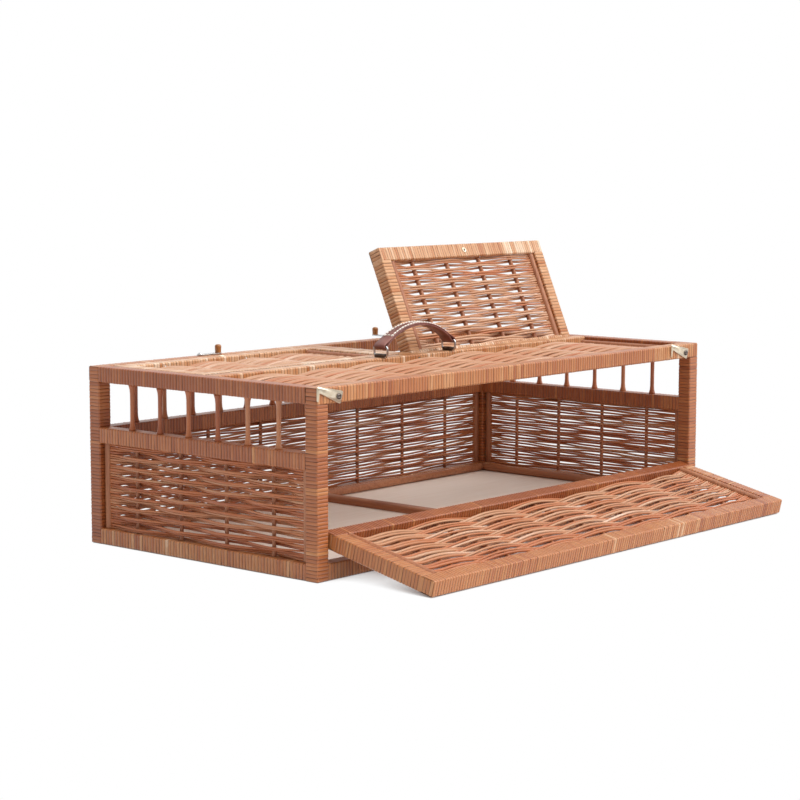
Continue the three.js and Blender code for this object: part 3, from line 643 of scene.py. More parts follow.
# %% Posts
# Painted shade: the posts are wound in darker strips because they stand in less light than the rails on top.
POST_PITCH, POST_SHADE_TONE, DRAW, SHY = 0.0044, -0.25, 0.0006, 0.0008
DRAWN_IN = dict(half_z=BAR / 2 - DRAW, core=CORE_HALF - DRAW)
post_names = ["post_front_left", "post_front_right", "post_back_left", "post_back_right"]
shafts, heads = [], []
for node in post_names:
    start, end, up = bar_line(node)
    neck = Vector((start.x, start.y, end.z - BAR))
    shafts.append((start, neck, up))
    heads.append((neck, end - SHY * UP, up))
parts = wound("posts_wound", shafts, POST_PITCH, seed=3, tone=POST_SHADE_TONE)
parts += wound("post_heads", heads, POST_PITCH, seed=4, tone=POST_SHADE_TONE, **DRAWN_IN)
fit(join("posts_wound", parts), "basket", "cane", *post_names)

# %% [markdown]
# The rails of the frame, wound at a slightly wider pitch. The long top rails run over the posts to the
# corners; all others stop at the bars they meet.

# %% Rails
# BUTT is below nought: a bar runs on into the one that it meets.
RAIL_PITCH, HEAD_PROUD, BUTT = 0.0052, 0.0007, -0.0012
bottom = ["bottom_rail_" + side for side in ("front", "back", "left", "right")]
bars = [bar_line(node) for node in bottom]
parts = wound("bottom_rails_wound", bars, RAIL_PITCH, seed=11, inset=BUTT, tone=0.05)
fit(join("bottom_rails_wound", parts), "basket", "cane", *bottom)
parts, top = [], []
# Painted light and shade in the tones: the short top rails over the ends are darker for the shaded left end,
# and the middle bar and centre strut are paler for the light on top.
for name, nodes, seed, inset, tone in (
        ("top_long_rails", ["top_rail_front", "top_rail_back"], 12, HEAD_PROUD, 0.06),
        ("top_short_rails", ["top_rail_left", "top_rail_right"], 14, BUTT, -0.42),
        ("top_inner_bars", ["middle_bar", "centre_strut"], 15, BUTT, 0.3)):
    parts += wound(name, [bar_line(node) for node in nodes], RAIL_PITCH, seed, inset, tone=tone)
    top += nodes
fit(join("top_rails_wound", parts), "basket", "cane", *top)


# %% [markdown]
# Thin spindles stand in the middle rails and reach the top rails. Each is a round rod that flares softly at
# both ends. One lathe shape is laid along each rail at the spindles' pitch by the same tree.

# %% Middle rails and spindles
def lathe(name, profile, sides):
    """profile: (radius, height) from the foot up, along Z."""
    angles = [2 * math.pi * i / sides for i in range(sides)]
    verts = [(radius * math.cos(a), radius * math.sin(a), height)
             for radius, height in profile for a in angles]
    faces = quads(len(profile), sides, loop_rows=False)
    faces += [tuple(reversed(range(sides))), tuple(range(len(verts) - sides, len(verts)))]
    mesh = new_mesh(name, verts, faces, lay=[v[2] for v in verts])
    mesh.polygons.foreach_set("use_smooth", [len(p.vertices) == 4 for p in mesh.polygons])
    return outwards(mesh)


SUNK, END_SPINDLES, BACK_SPINDLES = 0.0005, (6, 0.05143), (14, 0.05067)  # how many spindles, and their pitch
middle = ["spindle_rail_left", "spindle_rail_right", "spindle_rail_back"]
bars = [bar_line(node, rail_only=True) for node in middle]
foot = bars[0][0].z + BAR / 2 - SUNK
rise = corners("top_rail_back")[0].z + SUNK - foot
flare = [(0.0049, 0.0), (0.0045, 0.002), (0.0034, 0.006), (0.0029, 0.012)]
waist = [(0.0028, rise / 2)]
spindle = lathe("spindle", flare + waist + [(r, rise - z) for r, z in reversed(flare)], sides=10)
# Painted shade: the middle rails are wound in darker strips, for the shade over the left end.
parts = wound("middle_rails_wound", bars, RAIL_PITCH, seed=13, inset=BUTT, tone=-0.2)
spindle_rows = (END_SPINDLES, END_SPINDLES, BACK_SPINDLES)
for (start, end, up), (count, pitch), seed in zip(bars, spindle_rows, (21, 22, 23)):
    centre = (start + end) / 2
    reach = (end - start).normalized() * (count - 1) * pitch / 2
    ends = [Vector((centre.x, centre.y, foot)) + side * reach for side in (-1, 1)]
    parts.append(repeated("spindles", spindle, [(ends, up)], pitch * SNUG, Askew=0.008, Swell=0.03,
                          Strip_Length=1, Seed=seed, Finish=willow))
fit(join("middle_rails_wound", parts), "basket", "cane", *middle)

# %% [markdown]
# ## Weaving the panels
# Willow rods run lengthways in rows, in front of one stake and behind the next, and each next row does the
# opposite. The rule is simple, so Geometry Nodes make the whole panel: rows of lines are bent by a cosine
# whose half wave is the stake pitch. Where a pair of rods goes behind a stake its two rods part a little,
# which leaves the small lens of light that is seen beside a stake. Every rod tapers from butt to tip, and
# the next row runs the other way.

# %% Tree: lay the rods of a panel in rows
weave, given = new_tree("woven_panel", [
    ("Width", "Float"), ("Height", "Float"), ("Rows", "Int"), ("Rods per Row", "Int"), ("Rod", "Float"),
    ("Swing", "Float"), ("Close", "Float"), ("Lap", "Float"), ("Part", "Float"), ("Pinch", "Float"),
    ("Slack", "Float"), ("Taper", "Float"), ("Stakes", "Int"), ("Stake Pitch", "Float"), ("Stake", "Float"),
    ("Side Rod", "Float"), ("Side Lift", "Float"), ("Tone", "Float"), ("Seed", "Int"), ("Finish", "Material"),
    ("Stake Finish", "Material")])
# Rods end inside the side rods, bend in steps, and a hair more keeps a row's number from falling short.
INTO_SIDE, ROD_STEP, HAIR = -0.7, 0.0058, 0.01
half = add(weave, TIMES, given["Width"], 0.5)
rod_end = add(weave, TIMES_PLUS, given["Side Rod"], INTO_SIDE, half)
far_end = add(weave, TIMES, rod_end, -1.0)
left_end = add(weave, POINT, far_end)
right_end = add(weave, POINT, rod_end)
line = add(weave, "GeometryNodeCurvePrimitiveLine", left_end, right_end)
line = add(weave, RESAMPLE, {0: line, 3: ROD_STEP}, mode="LENGTH")
count = add(weave, TIMES, given["Rows"], given["Rods per Row"])
seats = add(weave, "GeometryNodeMeshLine", {0: count, 3: (0, 0, 0)})
rods = add(weave, INSTANCES, {0: seats, 2: line})
rods = add(weave, STORE, {0: rods, 2: "rod", 3: add(weave, INDEX)}, domain="INSTANCE")
rods = add(weave, REALIZE, rods)
rod = add(weave, NAMED, "rod")
row = add(weave, PLUS, rod, HAIR)
row = add(weave, OVER, row, given["Rods per Row"])
row = add(weave, FLOOR, row)
before = add(weave, TIMES, row, given["Rods per Row"])
twin = add(weave, MINUS, rod, before)
middle_twin = add(weave, TIMES_PLUS, given["Rods per Row"], 0.5, -0.5)
twin = add(weave, MINUS, twin, middle_twin)
print("rows and twins numbered")

# %% [markdown]
# The bend: wave is plus one in front of a stake and minus one behind it. From it follows how far the two
# rods of a pair stand apart. A slow noise along each rod adds the unevenness of the hand.

# %% Tree: bend the rods round the stakes
WAVER_ALONG, WAVER_APART = 16.0, 7.31  # waves per metre of a rod, and how far apart two rods are in the noise
place = add(weave, "ShaderNodeSeparateXYZ", add(weave, "GeometryNodeInputPosition"))
phase = add(weave, OVER, place.outputs[0], given["Stake Pitch"])
phase = add(weave, TIMES_PLUS, given["Stakes"], 0.5, phase)
phase = add(weave, MINUS, phase, 0.5)
phase = add(weave, PLUS, phase, row)
phase = add(weave, TIMES, phase, math.pi)
wave = add(weave, COSINE, phase)
behind = add(weave, TIMES_PLUS, wave, -0.5, 0.5)
behind = add(weave, POWER, behind, given["Pinch"])
spread = add(weave, TIMES_PLUS, behind, given["Part"], given["Close"])
twin_off = add(weave, TIMES, twin, given["Rod"])
apart = add(weave, TIMES, twin_off, spread)
row_pitch = add(weave, OVER, given["Height"], given["Rows"])
level = add(weave, TIMES_PLUS, given["Rows"], -0.5, row)
level = add(weave, PLUS, level, 0.5)
level = add(weave, TIMES_PLUS, level, row_pitch, apart)
noise_x = add(weave, TIMES, place.outputs[0], WAVER_ALONG)
noise_y = add(weave, TIMES, rod, WAVER_APART)
noise_place = add(weave, POINT, noise_x, noise_y, given["Seed"])
waver = add(weave, NOISE, {"Vector": noise_place, "Scale": 1.0, "Detail": 2.0})
waver = add(weave, MINUS, waver, 0.5)
level = add(weave, TIMES_PLUS, waver, given["Slack"], level)
print("weave tree has", len(weave.nodes), "nodes so far")

# %% [markdown]
# The depth of a rod follows the wave too, a little looser or tighter for each rod. Over its last 30 mm a
# rod eases to the height of the side rod, which takes its end. Its finish needs to know its tone and the
# way along it, and both are stored while it still lies straight.

# %% Tree: depth, ends and tone of the rods
LOOSEST, TIGHTEST, END_EASE, DARKEST, PALEST = 0.8, 1.08, 0.03, 0.12, 0.62
lapped = add(weave, TIMES, twin_off, given["Lap"])
tightness = add(weave, RANDOM, {2: LOOSEST, 3: TIGHTEST, 7: rod, 8: given["Seed"]})
swing = add(weave, TIMES, given["Swing"], tightness.outputs[1])
depth = add(weave, TIMES_PLUS, wave, swing, lapped)
off_middle = add(weave, SIZE_OF, place.outputs[0])
end_starts = add(weave, MINUS, rod_end, END_EASE)
ending = add(weave, RANGE, {"Value": off_middle, "From Min": end_starts, "From Max": rod_end},
             interpolation_type="SMOOTHSTEP")
depth = add(weave, "ShaderNodeMix", {0: ending, 2: depth, 3: given["Side Lift"]})
bent = add(weave, POINT, place.outputs[0], level, depth)
rods = add(weave, STORE, {0: rods, 2: "lay", 3: place.outputs[0]})
rod_tone = add(weave, RANDOM, {2: DARKEST, 3: PALEST, 7: rod, 8: given["Seed"]})
# The Tone input shifts a whole panel, paler on the panels that are lit, as painted light.
rod_tone = add(weave, PLUS, rod_tone.outputs[1], given["Tone"])
rods = add(weave, STORE, {0: rods, 2: "tone", 3: rod_tone})
rods = add(weave, "GeometryNodeSetPosition", {0: rods, 2: bent})
print("weave tree bends its rods")

# %% [markdown]
# A round section follows each bent line and swells or shrinks with the rod's own thickness and taper. The
# thickness is drawn with a seed of its own.

# %% Tree: give the rods their thickness
THINNEST, THICKEST, ROD_SIDES, THICK_DRAW = 0.9, 1.1, 7, 5
laid = add(weave, NAMED, "lay")
share = add(weave, OVER, laid, half)
turned = add(weave, TIMES, row, math.pi)
turned = add(weave, COSINE, turned)
share = add(weave, TIMES, share, turned)
taper = add(weave, TIMES_PLUS, share, given["Taper"], 1.0)
other_seed = add(weave, PLUS, given["Seed"], THICK_DRAW)
thick = add(weave, RANDOM, {2: THINNEST, 3: THICKEST, 7: rod, 8: other_seed})
thick = add(weave, TIMES, thick.outputs[1], taper)
rod_half = add(weave, TIMES, given["Rod"], 0.5)
section = add(weave, "GeometryNodeCurvePrimitiveCircle", {0: ROD_SIDES, 4: rod_half})
rods = add(weave, "GeometryNodeCurveToMesh", rods, section, thick, True)
print("each rod has", ROD_SIDES, "sides")

# %% [markdown]
# Stakes stand across the rows at an even pitch, and a thicker rod closes the panel at each end. Both are
# straight rods on points of a line, so they are instances too, and carry a mark for their own finish.

# %% Tree: stakes and side rods
STAKE_SIDES, SIDE_SIDES, UPRIGHT_STEP = 10, 14, 0.02
foot, head = (add(weave, POINT, {1: add(weave, TIMES, given["Height"], share)}) for share in (-0.5, 0.5))
upright = add(weave, "GeometryNodeCurvePrimitiveLine", foot, head)
upright = add(weave, RESAMPLE, {0: upright, 3: UPRIGHT_STEP}, mode="LENGTH")
stake_half = add(weave, TIMES, given["Stake"], 0.5)
stake_first = add(weave, TIMES_PLUS, given["Stakes"], -0.5, 0.5)
stake_first = add(weave, POINT, add(weave, TIMES, stake_first, given["Stake Pitch"]))
stake_step = add(weave, POINT, given["Stake Pitch"])
side_half = add(weave, TIMES, given["Side Rod"], 0.5)
inset = add(weave, MINUS, side_half, half)
side_first = add(weave, POINT, {0: inset, 2: given["Side Lift"]})
side_step = add(weave, POINT, add(weave, TIMES, inset, -2.0))
standing = []
for radius, sides, count, start, step in ((stake_half, STAKE_SIDES, given["Stakes"], stake_first, stake_step),
                                          (side_half, SIDE_SIDES, 2, side_first, side_step)):
    section = add(weave, "GeometryNodeCurvePrimitiveCircle", {0: sides, 4: radius})
    shaft = add(weave, "GeometryNodeCurveToMesh", {0: upright, 1: section, 3: True})
    feet = add(weave, "GeometryNodeMeshLine", {0: count, 2: start, 3: step})
    standing.append(add(weave, INSTANCES, {0: feet, 2: shaft}))
uprights = add(weave, "GeometryNodeJoinGeometry", standing[0])
plug(weave, uprights, {0: standing[1]})
uprights = add(weave, REALIZE, uprights)
uprights = add(weave, STORE, {0: uprights, 2: "upright", 3: True}, data_type="BOOLEAN", domain="FACE")
panel = add(weave, "GeometryNodeJoinGeometry", rods)
plug(weave, panel, {0: uprights})
panel = add(weave, "GeometryNodeSetShadeSmooth", panel)
panel = add(weave, REALIZE, panel)
panel = add(weave, COAT, {0: panel, 2: given["Finish"]})
marked = add(weave, NAMED, "upright", data_type="BOOLEAN")
panel = add(weave, COAT, panel, marked, given["Stake Finish"])
add(weave, "NodeGroupOutput", panel)
print("weave tree has", len(weave.nodes), "nodes")

# %% [markdown]
# Each panel is woven flat and then put in its place: u runs along the rods, v across the rows, and their
# cross product looks out of the basket. The box of its solid gives its size and its centre.

# %% Weaving a panel
PAIR = 2  # rods in a row


def panel_of(node, u, v):
    low, high = corners(node)
    return [abs((high - low).dot(way)) for way in (u, v)], (low + high) / 2


def woven(name, size, stakes, centre, u, v, **values):
    """size: along the rods, across them; stakes: how many, their pitch."""
    mesh = grow(name, bpy.data.meshes.new(name), weave, Width=size[0], Height=size[1], Rods_per_Row=PAIR,
                Stakes=stakes[0], Stake_Pitch=stakes[1], Finish=willow, Stake_Finish=stake_wood, **values)
    mesh.transform(Matrix.Translation(centre) @ Matrix((u, v, u.cross(v))).transposed().to_4x4())
    return mesh


print("a panel is woven with", PAIR, "rods to a row")

# %% [markdown]
# Three walls and the front strip of the top don't move. The walls share one weave. The strip has a lower,
# looser one, which the flap has too.

# %% The four fixed panels
wall = dict(Rows=17, Rod=0.0032, Swing=0.0054, Close=0.85, Lap=0.6, Part=0.35, Pinch=2.0, Slack=0.0030,
            Taper=0.15, Stake=0.005, Side_Rod=0.0095)
low_weave = dict(Swing=0.0045, Lap=0.2, Part=0.4, Pinch=3.0, Slack=0.0036, Taper=0.15, Stake=0.005)
END_STAKES, STAKES = (4, 0.080), (7, 0.100)
for side, stakes, u, seed in (("left", END_STAKES, Vector((0, -1, 0)), 31), ("right", END_STAKES, BACK, 32),
                              ("back", STAKES, Vector((-1, 0, 0)), 33)):
    size, centre = panel_of("weave_" + side, u, UP)
    mesh = woven("weave_" + side, size, stakes, centre, u, UP, Seed=seed, **wall)
    fit(holder("woven_wall_" + side, mesh), "basket", "willow", "weave_" + side)
# Painted light: the strip on top is woven in paler rods, for the light that falls on it.
size, centre = panel_of("weave_top", ALONG, BACK)
mesh = woven("weave_top", size, STAKES, centre, ALONG, BACK, Rows=19, Rod=0.0034, Close=1.0, Tone=0.2,
             Side_Rod=0.011, Seed=34, **low_weave)
fit(holder("woven_top_strip", mesh), "basket", "willow", "weave_top")

# %% [markdown]
# ## Lids and flap
# A lid is a small frame of wound bars round its own woven panel. The left lid lies flat, so its solids' boxes
# give the sizes for both; the right lid is the same lid, swung up by its joint's angle. Its hinge bar has
# one round corner, which lets it turn close behind the middle bar. The winding of the side bars runs on over
# the ends of the two long bars. Small nails hold the stakes in the free bar, and a metal eyelet sits in its
# top, where the latch closes over it.

# %% Nail and eyelet
nail_shape = lathe("nail", [(0.0017, 0.0), (0.0016, 0.0004), (0.0010, 0.0008), (0.0003, 0.0009)], sides=8)
EYELET = [(0.0042, -0.0004), (0.0042, 0.0003), (0.0036, 0.0009), (0.0028, 0.0010), (0.0020, 0.0006),
          (0.0018, 0.0001)]


def nails(name, count, pitch, y, z, coat):
    reach = (count - 1) * pitch / 2
    line = ([Vector((side * reach, y, z)) for side in (-1, 1)], (0, -1, 0))
    return repeated(name, nail_shape, [line], pitch * SNUG, Askew=0.05, Swell=0.1, Strip_Length=1, Seed=81,
                    Finish=coat)


def eyelet(name):
    mesh = lathe(name, EYELET, sides=16)
    mesh.materials.append(brass)
    mesh.materials.append(iron)
    # Painted shade: the cap that closes the hole takes dark iron, standing for the shade inside the hole.
    mesh.polygons[-1].material_index = 1  # the dark hole
    return mesh


NAIL_UP = 0.0045
bar = bar_line("middle_bar")[0]
stake_nails = nails("stake_nails", *STAKES, bar.y - BAR / 2, bar.z + NAIL_UP, iron)
fit(holder("stake_nails", stake_nails), "basket", "dark_iron")

# %% [markdown]
# The bars of a lid are taken from the left one, with their hinge line as the origin. The box of the hinge
# bar takes in its round ends too, so its line is as long as the free bar. Two short windings on each side
# go on from the side bars: one over the end of the free bar, one over the end of the hinge bar, from its
# heel.

# %% Bars of a lid
joints = {joint["name"]: joint for joint in frame["joints"]}
HEEL = -0.0055
lid_axis = Vector(joints["lid_left_hinge"]["pos_m"])
lid_bars = {}
for bar in ("hinge_bar", "free_bar", "outer_bar", "inner_bar"):
    start, end, up = bar_line("lid_left_" + bar)
    lid_bars[bar] = (start - lid_axis, end - lid_axis, up)
lid_half, free_y = lid_bars["free_bar"][1].x, lid_bars["free_bar"][1].y
lid_bars["hinge_bar"] = (Vector((-lid_half, 0, 0)), Vector((lid_half, 0, 0)), up)
lid_ends, lid_heels = [], []
for near, far, up in (lid_bars["outer_bar"], lid_bars["inner_bar"]):
    lid_ends.append((Vector((near.x, far.y, 0)), Vector((near.x, free_y + BAR / 2 - SHY, 0)), up))
    lid_heels.append((Vector((near.x, HEEL, 0)), Vector((near.x, near.y, 0)), up))
lid_size, lid_centre = panel_of("lid_left_weave", ALONG, BACK)
print("bars of a lid", list(lid_bars))

# %% [markdown]
# Both lids are made flat about their hinge line, and each is then swung to its place by its joint's angle.

# %% Lids
# Painted light: the lid bars are wound in paler strips and their panels woven in paler rods, because the lids
# face the light on top.
SASH_PITCH, LID_STAKES, LID_LIGHT_TONE, LID_ROUND = 0.0048, (4, 0.0737), 0.42, 0.0066


def swung(place, angle):
    return Matrix.Translation(place) @ Matrix.Rotation(math.radians(angle), 4, "X")


def lid(side, seed):
    joint = joints["lid_" + side + "_hinge"]
    angle = 0.0 if side == "left" else -joint["range_deg"][0]
    place = swung(Vector(joint["pos_m"]), angle)
    name, parts = "lid_" + side + "_frame", []
    for bars, more, inset, turn in (([lid_bars["hinge_bar"]], 0, HEAD_PROUD, dict(big_corner=LID_ROUND)),
                                    ([lid_bars["free_bar"]], 3, HEAD_PROUD, {}),
                                    ([lid_bars["outer_bar"], lid_bars["inner_bar"]], 1, BUTT, {}),
                                    (lid_ends, 4, 0.0, DRAWN_IN), (lid_heels, 5, 0.0, DRAWN_IN)):
        parts += wound(name, bars, SASH_PITCH, seed + more, inset, tone=LID_LIGHT_TONE, **turn)
    ring = eyelet(name)
    ring.transform(Matrix.Translation((0, free_y, BAR / 2)))
    parts += [ring, nails(name, *LID_STAKES, free_y - BAR / 2, NAIL_UP, plated)]
    for mesh in parts:
        mesh.transform(place)
    fit(join(name, parts), "lid_" + side, "cane", *["lid_%s_%s" % (side, bar) for bar in lid_bars])
    mesh = woven("lid_" + side + "_woven", lid_size, LID_STAKES, lid_centre - lid_axis, ALONG, BACK, Rows=18,
                 Rod=0.0035, Swing=0.0047, Close=1.0, Lap=0.2, Part=1.2, Pinch=5.0, Slack=0.0018, Taper=0.12,
                 Tone=0.24, Stake=0.0065, Side_Rod=0.0105, Side_Lift=0.0028, Seed=seed + 2)
    mesh.transform(place)
    fit(holder("lid_" + side + "_woven", mesh), "lid_" + side, "willow", "lid_" + side + "_weave")


lid("left", 41)
lid("right", 51)

# %% [markdown]
# The flap is the same kind of frame, only longer, and it is woven like the strip on top. It is made
# standing in the doorway and then let down to the ground about its hinge.

# %% Bars of the flap
flap_joint = joints["flap_hinge"]
let_down = swung(Vector(flap_joint["pos_m"]), -flap_joint["range_deg"][0])
# Where the bars' middles stand from the hinge, and the clearance between two pieces of the flap.
FLAP_Y, HINGE_Z, FREE_Z, BAR_GAP = 0.005, -0.001, 0.154, 0.0003
FLAP_STAKES = (7, 0.098)
flap_half = corners("flap_free_bar")[1].x
side_x = flap_half - BAR / 2
side_low, side_high = HINGE_Z + BAR / 2 + BAR_GAP, FREE_Z - BAR / 2 - BAR_GAP
end_low, end_high = HINGE_Z - BAR / 2 + SHY, FREE_Z + BAR / 2 - SHY
flap_size = (2 * (side_x - BAR / 2 - BAR_GAP), side_high - side_low)
flap_centre = (0, FLAP_Y, (side_low + side_high) / 2)


def flap_bar(x, low, other_x, high):
    return Vector((x, FLAP_Y, low)), Vector((other_x, FLAP_Y, high)), BACK


hinge_bar, free_bar = (flap_bar(-flap_half, z, flap_half, z) for z in (HINGE_Z, FREE_Z))
side_bars = [flap_bar(x, side_low, x, side_high) for x in (-side_x, side_x)]
end_bars = [flap_bar(x, low, x, high) for x in (-side_x, side_x)
            for low, high in ((end_low, side_low), (side_high, end_high))]
print("flap panel", [round(v, 4) for v in flap_size])

# %% [markdown]
# All bars of the flap are wound like those of a lid, with darker strips on its hinge bar as painted shade.
# Its panel is woven in paler rods as painted light to fill the space between the bars, and frame and panel
# are let down together.

# %% Flap
parts = []
# Painted shade: the hinge bar is wound in darker strips.
for bars, seed, inset, tone, turn in (
        ([hinge_bar], 60, HEAD_PROUD, -0.3, {}), ([free_bar], 61, HEAD_PROUD, 0.0, {}),
        (side_bars, 62, BUTT, 0.0, {}), (end_bars, 64, 0.0, 0.0, DRAWN_IN)):
    parts += wound("flap_frame", bars, SASH_PITCH, seed, inset, tone=tone, **turn)
for mesh in parts:
    mesh.transform(let_down)
fit(join("flap_frame", parts), "flap", "cane", "flap_hinge_bar", "flap_free_bar", "flap_left_bar",
    "flap_right_bar")
# Painted light: the flap's panel is woven in paler rods.
mesh = woven("flap_woven", flap_size, FLAP_STAKES, flap_centre, ALONG, UP, Rows=17, Rod=0.0035, Close=1.05,
             Tone=0.14, Side_Rod=0.0115, Side_Lift=-0.0042, Seed=63, **low_weave)
mesh.transform(let_down)
fit(holder("flap_woven", mesh), "flap", "willow", "flap_weave")


# %% [markdown]
# ## Handle
# The strap is one strip of leather folded round both wire rings and sewn to itself, so it has two layers
# that part round each ring. A flat rounded section is swept along that closed loop, and a round one makes
# the rings.

# %% Sweeping a section round a loop
def swept(name, path, section, across):
    """path: (point, outward) round a closed loop; section: (off, aside); across: the direction of aside."""
    verts, lays, walked = [], [], 0.0
    for i, (point, outward) in enumerate(path):
        if i:
            walked += (point - path[i - 1][0]).length
        verts += [point + outward * off + across * aside for off, aside in section]
        lays += [walked] * len(section)
    mesh = new_mesh(name, verts, quads(len(path), len(section)), lay=lays)
    mesh.polygons.foreach_set("use_smooth", [True] * len(mesh.polygons))
    return outwards(mesh)


print("strap and rings can be swept")

# %% [markdown]
# The strap rises from ring to ring in a flat arch. The joints give the places of the rings' feet and of the
# eyes, and s is the way along the arch from its top.

# %% Arch of the strap
strap_eye = Vector(joints["strap_rock"]["pos_m"])
FOOT_Z = joints["ring_left_rock"]["pos_m"][2]
EYE_X, HANDLE_Y, EYE_Z = -strap_eye.x, strap_eye.y, strap_eye.z
RISE, PLY, STRAP, STRAP_EDGE = 0.026, 0.002, 0.019, 0.0006
EYE_GAP, LAYER_GAP, PARTING = 0.003, 0.001, 0.014  # the layers part over the last 14 mm before a ring
ARCH = (EYE_X ** 2 + RISE ** 2) / (2 * RISE)
arch_centre = Vector((0, HANDLE_Y, EYE_Z + RISE - ARCH))
sweep = math.asin(EYE_X / ARCH)


def on_arch(s, off):
    a = s / ARCH
    outward = Vector((math.sin(a), 0, math.cos(a)))
    return arch_centre + outward * (ARCH + off), outward


def layer_gap(s):
    away = min(1.0, max(0.0, (ARCH * sweep - abs(s)) / PARTING))
    return EYE_GAP - (EYE_GAP - LAYER_GAP) * away * away * (3 - 2 * away)


print("strap length", round(2 * ARCH * sweep, 4))

# %% [markdown]
# The loop runs along the upper layer, round the right eye, back along the lower layer and round the left eye.

# %% Leather strap
ARCH_STEPS, EYE_STEPS = 20, 8
loop = []
for side in (1, -1):
    for i in range(2 * ARCH_STEPS + 1):
        s = side * ARCH * sweep * (i / ARCH_STEPS - 1)
        point, outward = on_arch(s, side * layer_gap(s))
        loop.append((point, side * outward))
    for i in range(1, EYE_STEPS):
        a = (sweep if side > 0 else -sweep - math.pi) + math.pi * i / EYE_STEPS
        outward = Vector((math.sin(a), 0, math.cos(a)))
        loop.append((Vector((side * EYE_X, HANDLE_Y, EYE_Z)) + outward * EYE_GAP, outward))
h, w, r = PLY / 2, STRAP / 2, STRAP_EDGE
strip_section = [(h, -w + r), (h, 0.0), (h, w - r), (h - r, w), (-h + r, w), (-h, w - r), (-h, 0.0),
                 (-h, -w + r), (-h + r, -w), (h - r, -w)]
strap = swept("handle_strap_leather", loop, strip_section, BACK)
strap.materials.append(leather)
print("strap has", len(strap.polygons), "faces")

# %% [markdown]
# The stitches run along both edges of the strap and across near each ring. They are short plump bars of
# thread, laid by the repeating tree along a line drawn just on the leather.

# %% Stitches
SEWN, EDGE_IN, STITCH, THREAD_OUT = 0.0560, 0.0064, 0.0056, 0.0004
EDGE_STEPS, CROSS_STEPS = 30, 3
PLUMP = [(0.0005, -0.0022), (0.0009, -0.0017), (0.0011, 0.0), (0.0009, 0.0017), (0.0005, 0.0022)]


def sewn_point(s, aside):
    point, outward = on_arch(s, layer_gap(s) + PLY / 2 + THREAD_OUT)
    return point + Vector((0, aside, 0)), outward


def seam(start, end, steps):
    points = [sewn_point(start[0] + (end[0] - start[0]) * i / steps,
                         start[1] + (end[1] - start[1]) * i / steps) for i in range(steps + 1)]
    return [p for p, n in points], [n for p, n in points]


seams = [seam((-SEWN, side * EDGE_IN), (SEWN, side * EDGE_IN), EDGE_STEPS) for side in (-1, 1)]
seams += [seam((end * SEWN, -EDGE_IN), (end * SEWN, EDGE_IN), CROSS_STEPS) for end in (-1, 1)]
stitch = lathe("stitch", PLUMP, sides=6)
stitch.transform(Matrix.Rotation(math.pi / 2, 4, "Y"))
stitches = repeated("handle_stitches", stitch, seams, STITCH, Askew=0.06, Swell=0.08, Strip_Length=5, Seed=71,
                    Finish=thread)
fit(join("handle_strap_sewn", [strap, stitches]), "strap", "leather", "handle_strap")

# %% [markdown]
# Each ring is a bent wire, a rounded loop that lies in its staple below and in the eye of the strap above.

# %% Rings
RING_WIDE, RING_WIRE, RING_CORNER, BEND_STEPS, WIRE_SIDES = 0.026, 0.003, 0.0035, 6, 10


def ring_loop(x):
    path = []
    low, high, half_w = FOOT_Z, EYE_Z, RING_WIDE / 2 - RING_WIRE / 2
    for y, z, begin in ((half_w, high, 0), (-half_w, high, 90), (-half_w, low, 180), (half_w, low, 270)):
        cy = y - math.copysign(RING_CORNER, y)
        cz = z - RING_CORNER if z == high else z + RING_CORNER
        for i in range(BEND_STEPS + 1):
            a = math.radians(begin + 90 * i / BEND_STEPS)
            outward = Vector((0, math.cos(a), math.sin(a)))
            path.append((Vector((x, HANDLE_Y + cy, cz)) + outward * RING_CORNER, outward))
    return path


round_wire = [2 * math.pi * i / WIRE_SIDES for i in range(WIRE_SIDES)]
wire_section = [(RING_WIRE / 2 * math.cos(a), RING_WIRE / 2 * math.sin(a)) for a in round_wire]
for side, x in (("left", -EYE_X), ("right", EYE_X)):
    ring = swept("ring_wire_" + side, ring_loop(x), wire_section, ALONG)
    ring.materials.append(plated)
    fit(holder("ring_wire_" + side, ring), "ring_" + side, "steel", "handle_ring_" + side)

# %% [markdown]
# ## Small metal parts
# Hooks, latch plates, screws, staples and studs are cut and bent from sheet and wire, so no edge on them is
# knife sharp. Each is a copy of its solid with its points merged and its sharp edges rounded a little.

# %% Hooks, latches, screws, staples and studs
SAME, FLAT, SHARP, CREASE = 1e-6, math.radians(1), math.radians(50), math.radians(40)
SHEET_EDGE, SCREW_EDGE = 0.0003, 0.0004


def softened(node, width, coat):
    solid = frame["nodes"][node]
    shape = bmesh.new()
    shape.from_mesh(solid.data)
    bmesh.ops.transform(shape, matrix=solid.matrix_world, verts=shape.verts)
    bmesh.ops.remove_doubles(shape, verts=shape.verts, dist=SAME)
    bmesh.ops.dissolve_limit(shape, angle_limit=FLAT, verts=shape.verts, edges=shape.edges)
    sharp = [edge for edge in shape.edges if edge.is_manifold and edge.calc_face_angle() > SHARP]
    if width:
        bmesh.ops.bevel(shape, geom=sharp, offset=width, segments=2, affect="EDGES", clamp_overlap=True)
    mesh = bpy.data.meshes.new(node + "_soft")
    shape.to_mesh(mesh)
    shape.free()
    mesh.polygons.foreach_set("use_smooth", [True] * len(mesh.polygons))
    mesh.set_sharp_from_angle(angle=CREASE)
    mesh.materials.clear()
    mesh.materials.append(coat)
    return holder(node + "_soft", mesh)


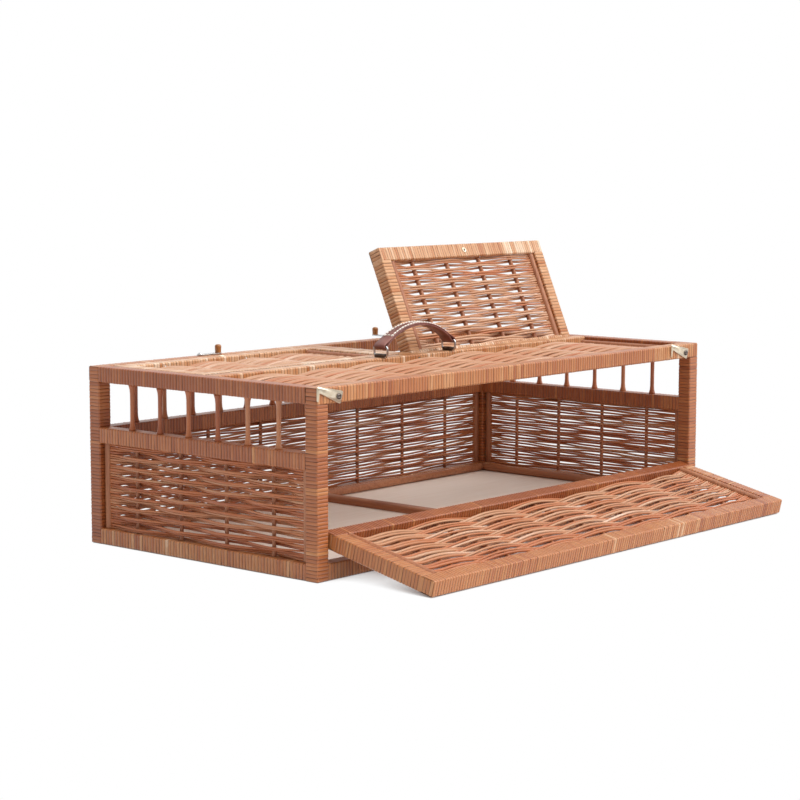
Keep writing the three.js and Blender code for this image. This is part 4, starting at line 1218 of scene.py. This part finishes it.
for side in ("left", "right"):
    for node, body, slot, width, coat in (
            ("hook_", "hook_" + side, "brass", SHEET_EDGE, brass),
            ("hook_screw_", "basket", "dark_iron", SCREW_EDGE, iron),
            ("latch_", "latch_" + side, "steel", SHEET_EDGE, plated),
            ("latch_screw_", "basket", "steel", SCREW_EDGE, plated),
            ("handle_staple_", "basket", "dark_iron", SHEET_EDGE, iron),
            ("flap_stud_", "flap", "brass", SCREW_EDGE, brass)):
        fit(softened(node + side, width, coat), body, slot, node + side)

# %% [markdown]
# The latches end in turned wooden knobs, round at the shoulder and a little hollow in the waist. The lathe
# makes them in the size of their solids' boxes.

# %% Knobs
# Shares of the knob's radius and height, from its foot to its top.
KNOB = [(0.90, 0.0), (0.93, 0.05), (0.92, 0.3), (0.96, 0.55), (1.0, 0.7), (0.97, 0.83), (0.8, 0.94),
        (0.45, 0.99), (0.1, 1.0)]
for side in ("left", "right"):
    low, high = corners("latch_knob_" + side)
    radius, tall = (high.x - low.x) / 2, high.z - low.z
    knob = lathe("latch_knob_" + side, [(wide * radius, up * tall) for wide, up in KNOB], sides=18)
    knob.transform(Matrix.Translation(((low.x + high.x) / 2, (low.y + high.y) / 2, low.z)))
    knob.materials.append(beech)
    fit(holder("turned_knob_" + side, knob), "latch_" + side, "turned_wood", "latch_knob_" + side)

# %% [markdown]
# The floor is edged with peeled rods, their ends a little chamfered, and a half-round strip covers the
# joint of its two boards. A rod is turned upright and then laid along the longest side of its solid's box.

# %% Floor rods and strip
CHAMFER, ROD_TIP = 0.0006, 0.9
for node in ("floor_rod_left", "floor_rod_right", "floor_rod_back"):
    low, high = corners(node)
    sides = high - low
    axis = longest(sides)
    radius, reach = min(sides) / 2, sides[axis] / 2
    tip = ROD_TIP * radius
    profile = [(tip, -reach), (radius, -reach + CHAMFER), (radius, 0.0), (radius, reach - CHAMFER),
               (tip, reach)]
    rod_mesh = lathe(node, profile, sides=16)
    rod_mesh.transform(Matrix.Rotation(math.pi / 2, 4, "YX"[axis]))
    rod_mesh.transform(Matrix.Translation((low + high) / 2))
    rod_mesh.materials.append(peeled_rod)
    fit(holder(node + "_round", rod_mesh), "basket", "peeled_rod", node)
fit(softened("floor_strip", 0.0, peeled_rod), "basket", "peeled_rod", "floor_strip")

# %% [markdown]
# ## Floor boards
# The two boards of the floor have their right shape already. They keep their solids and take the plywood.

# %% Finish on the boards
for node in ("floor_board_left", "floor_board_right"):
    boards = frame["nodes"][node].data.materials
    boards.clear()
    boards.append(birch_ply_painted_light)
print("boards finished")
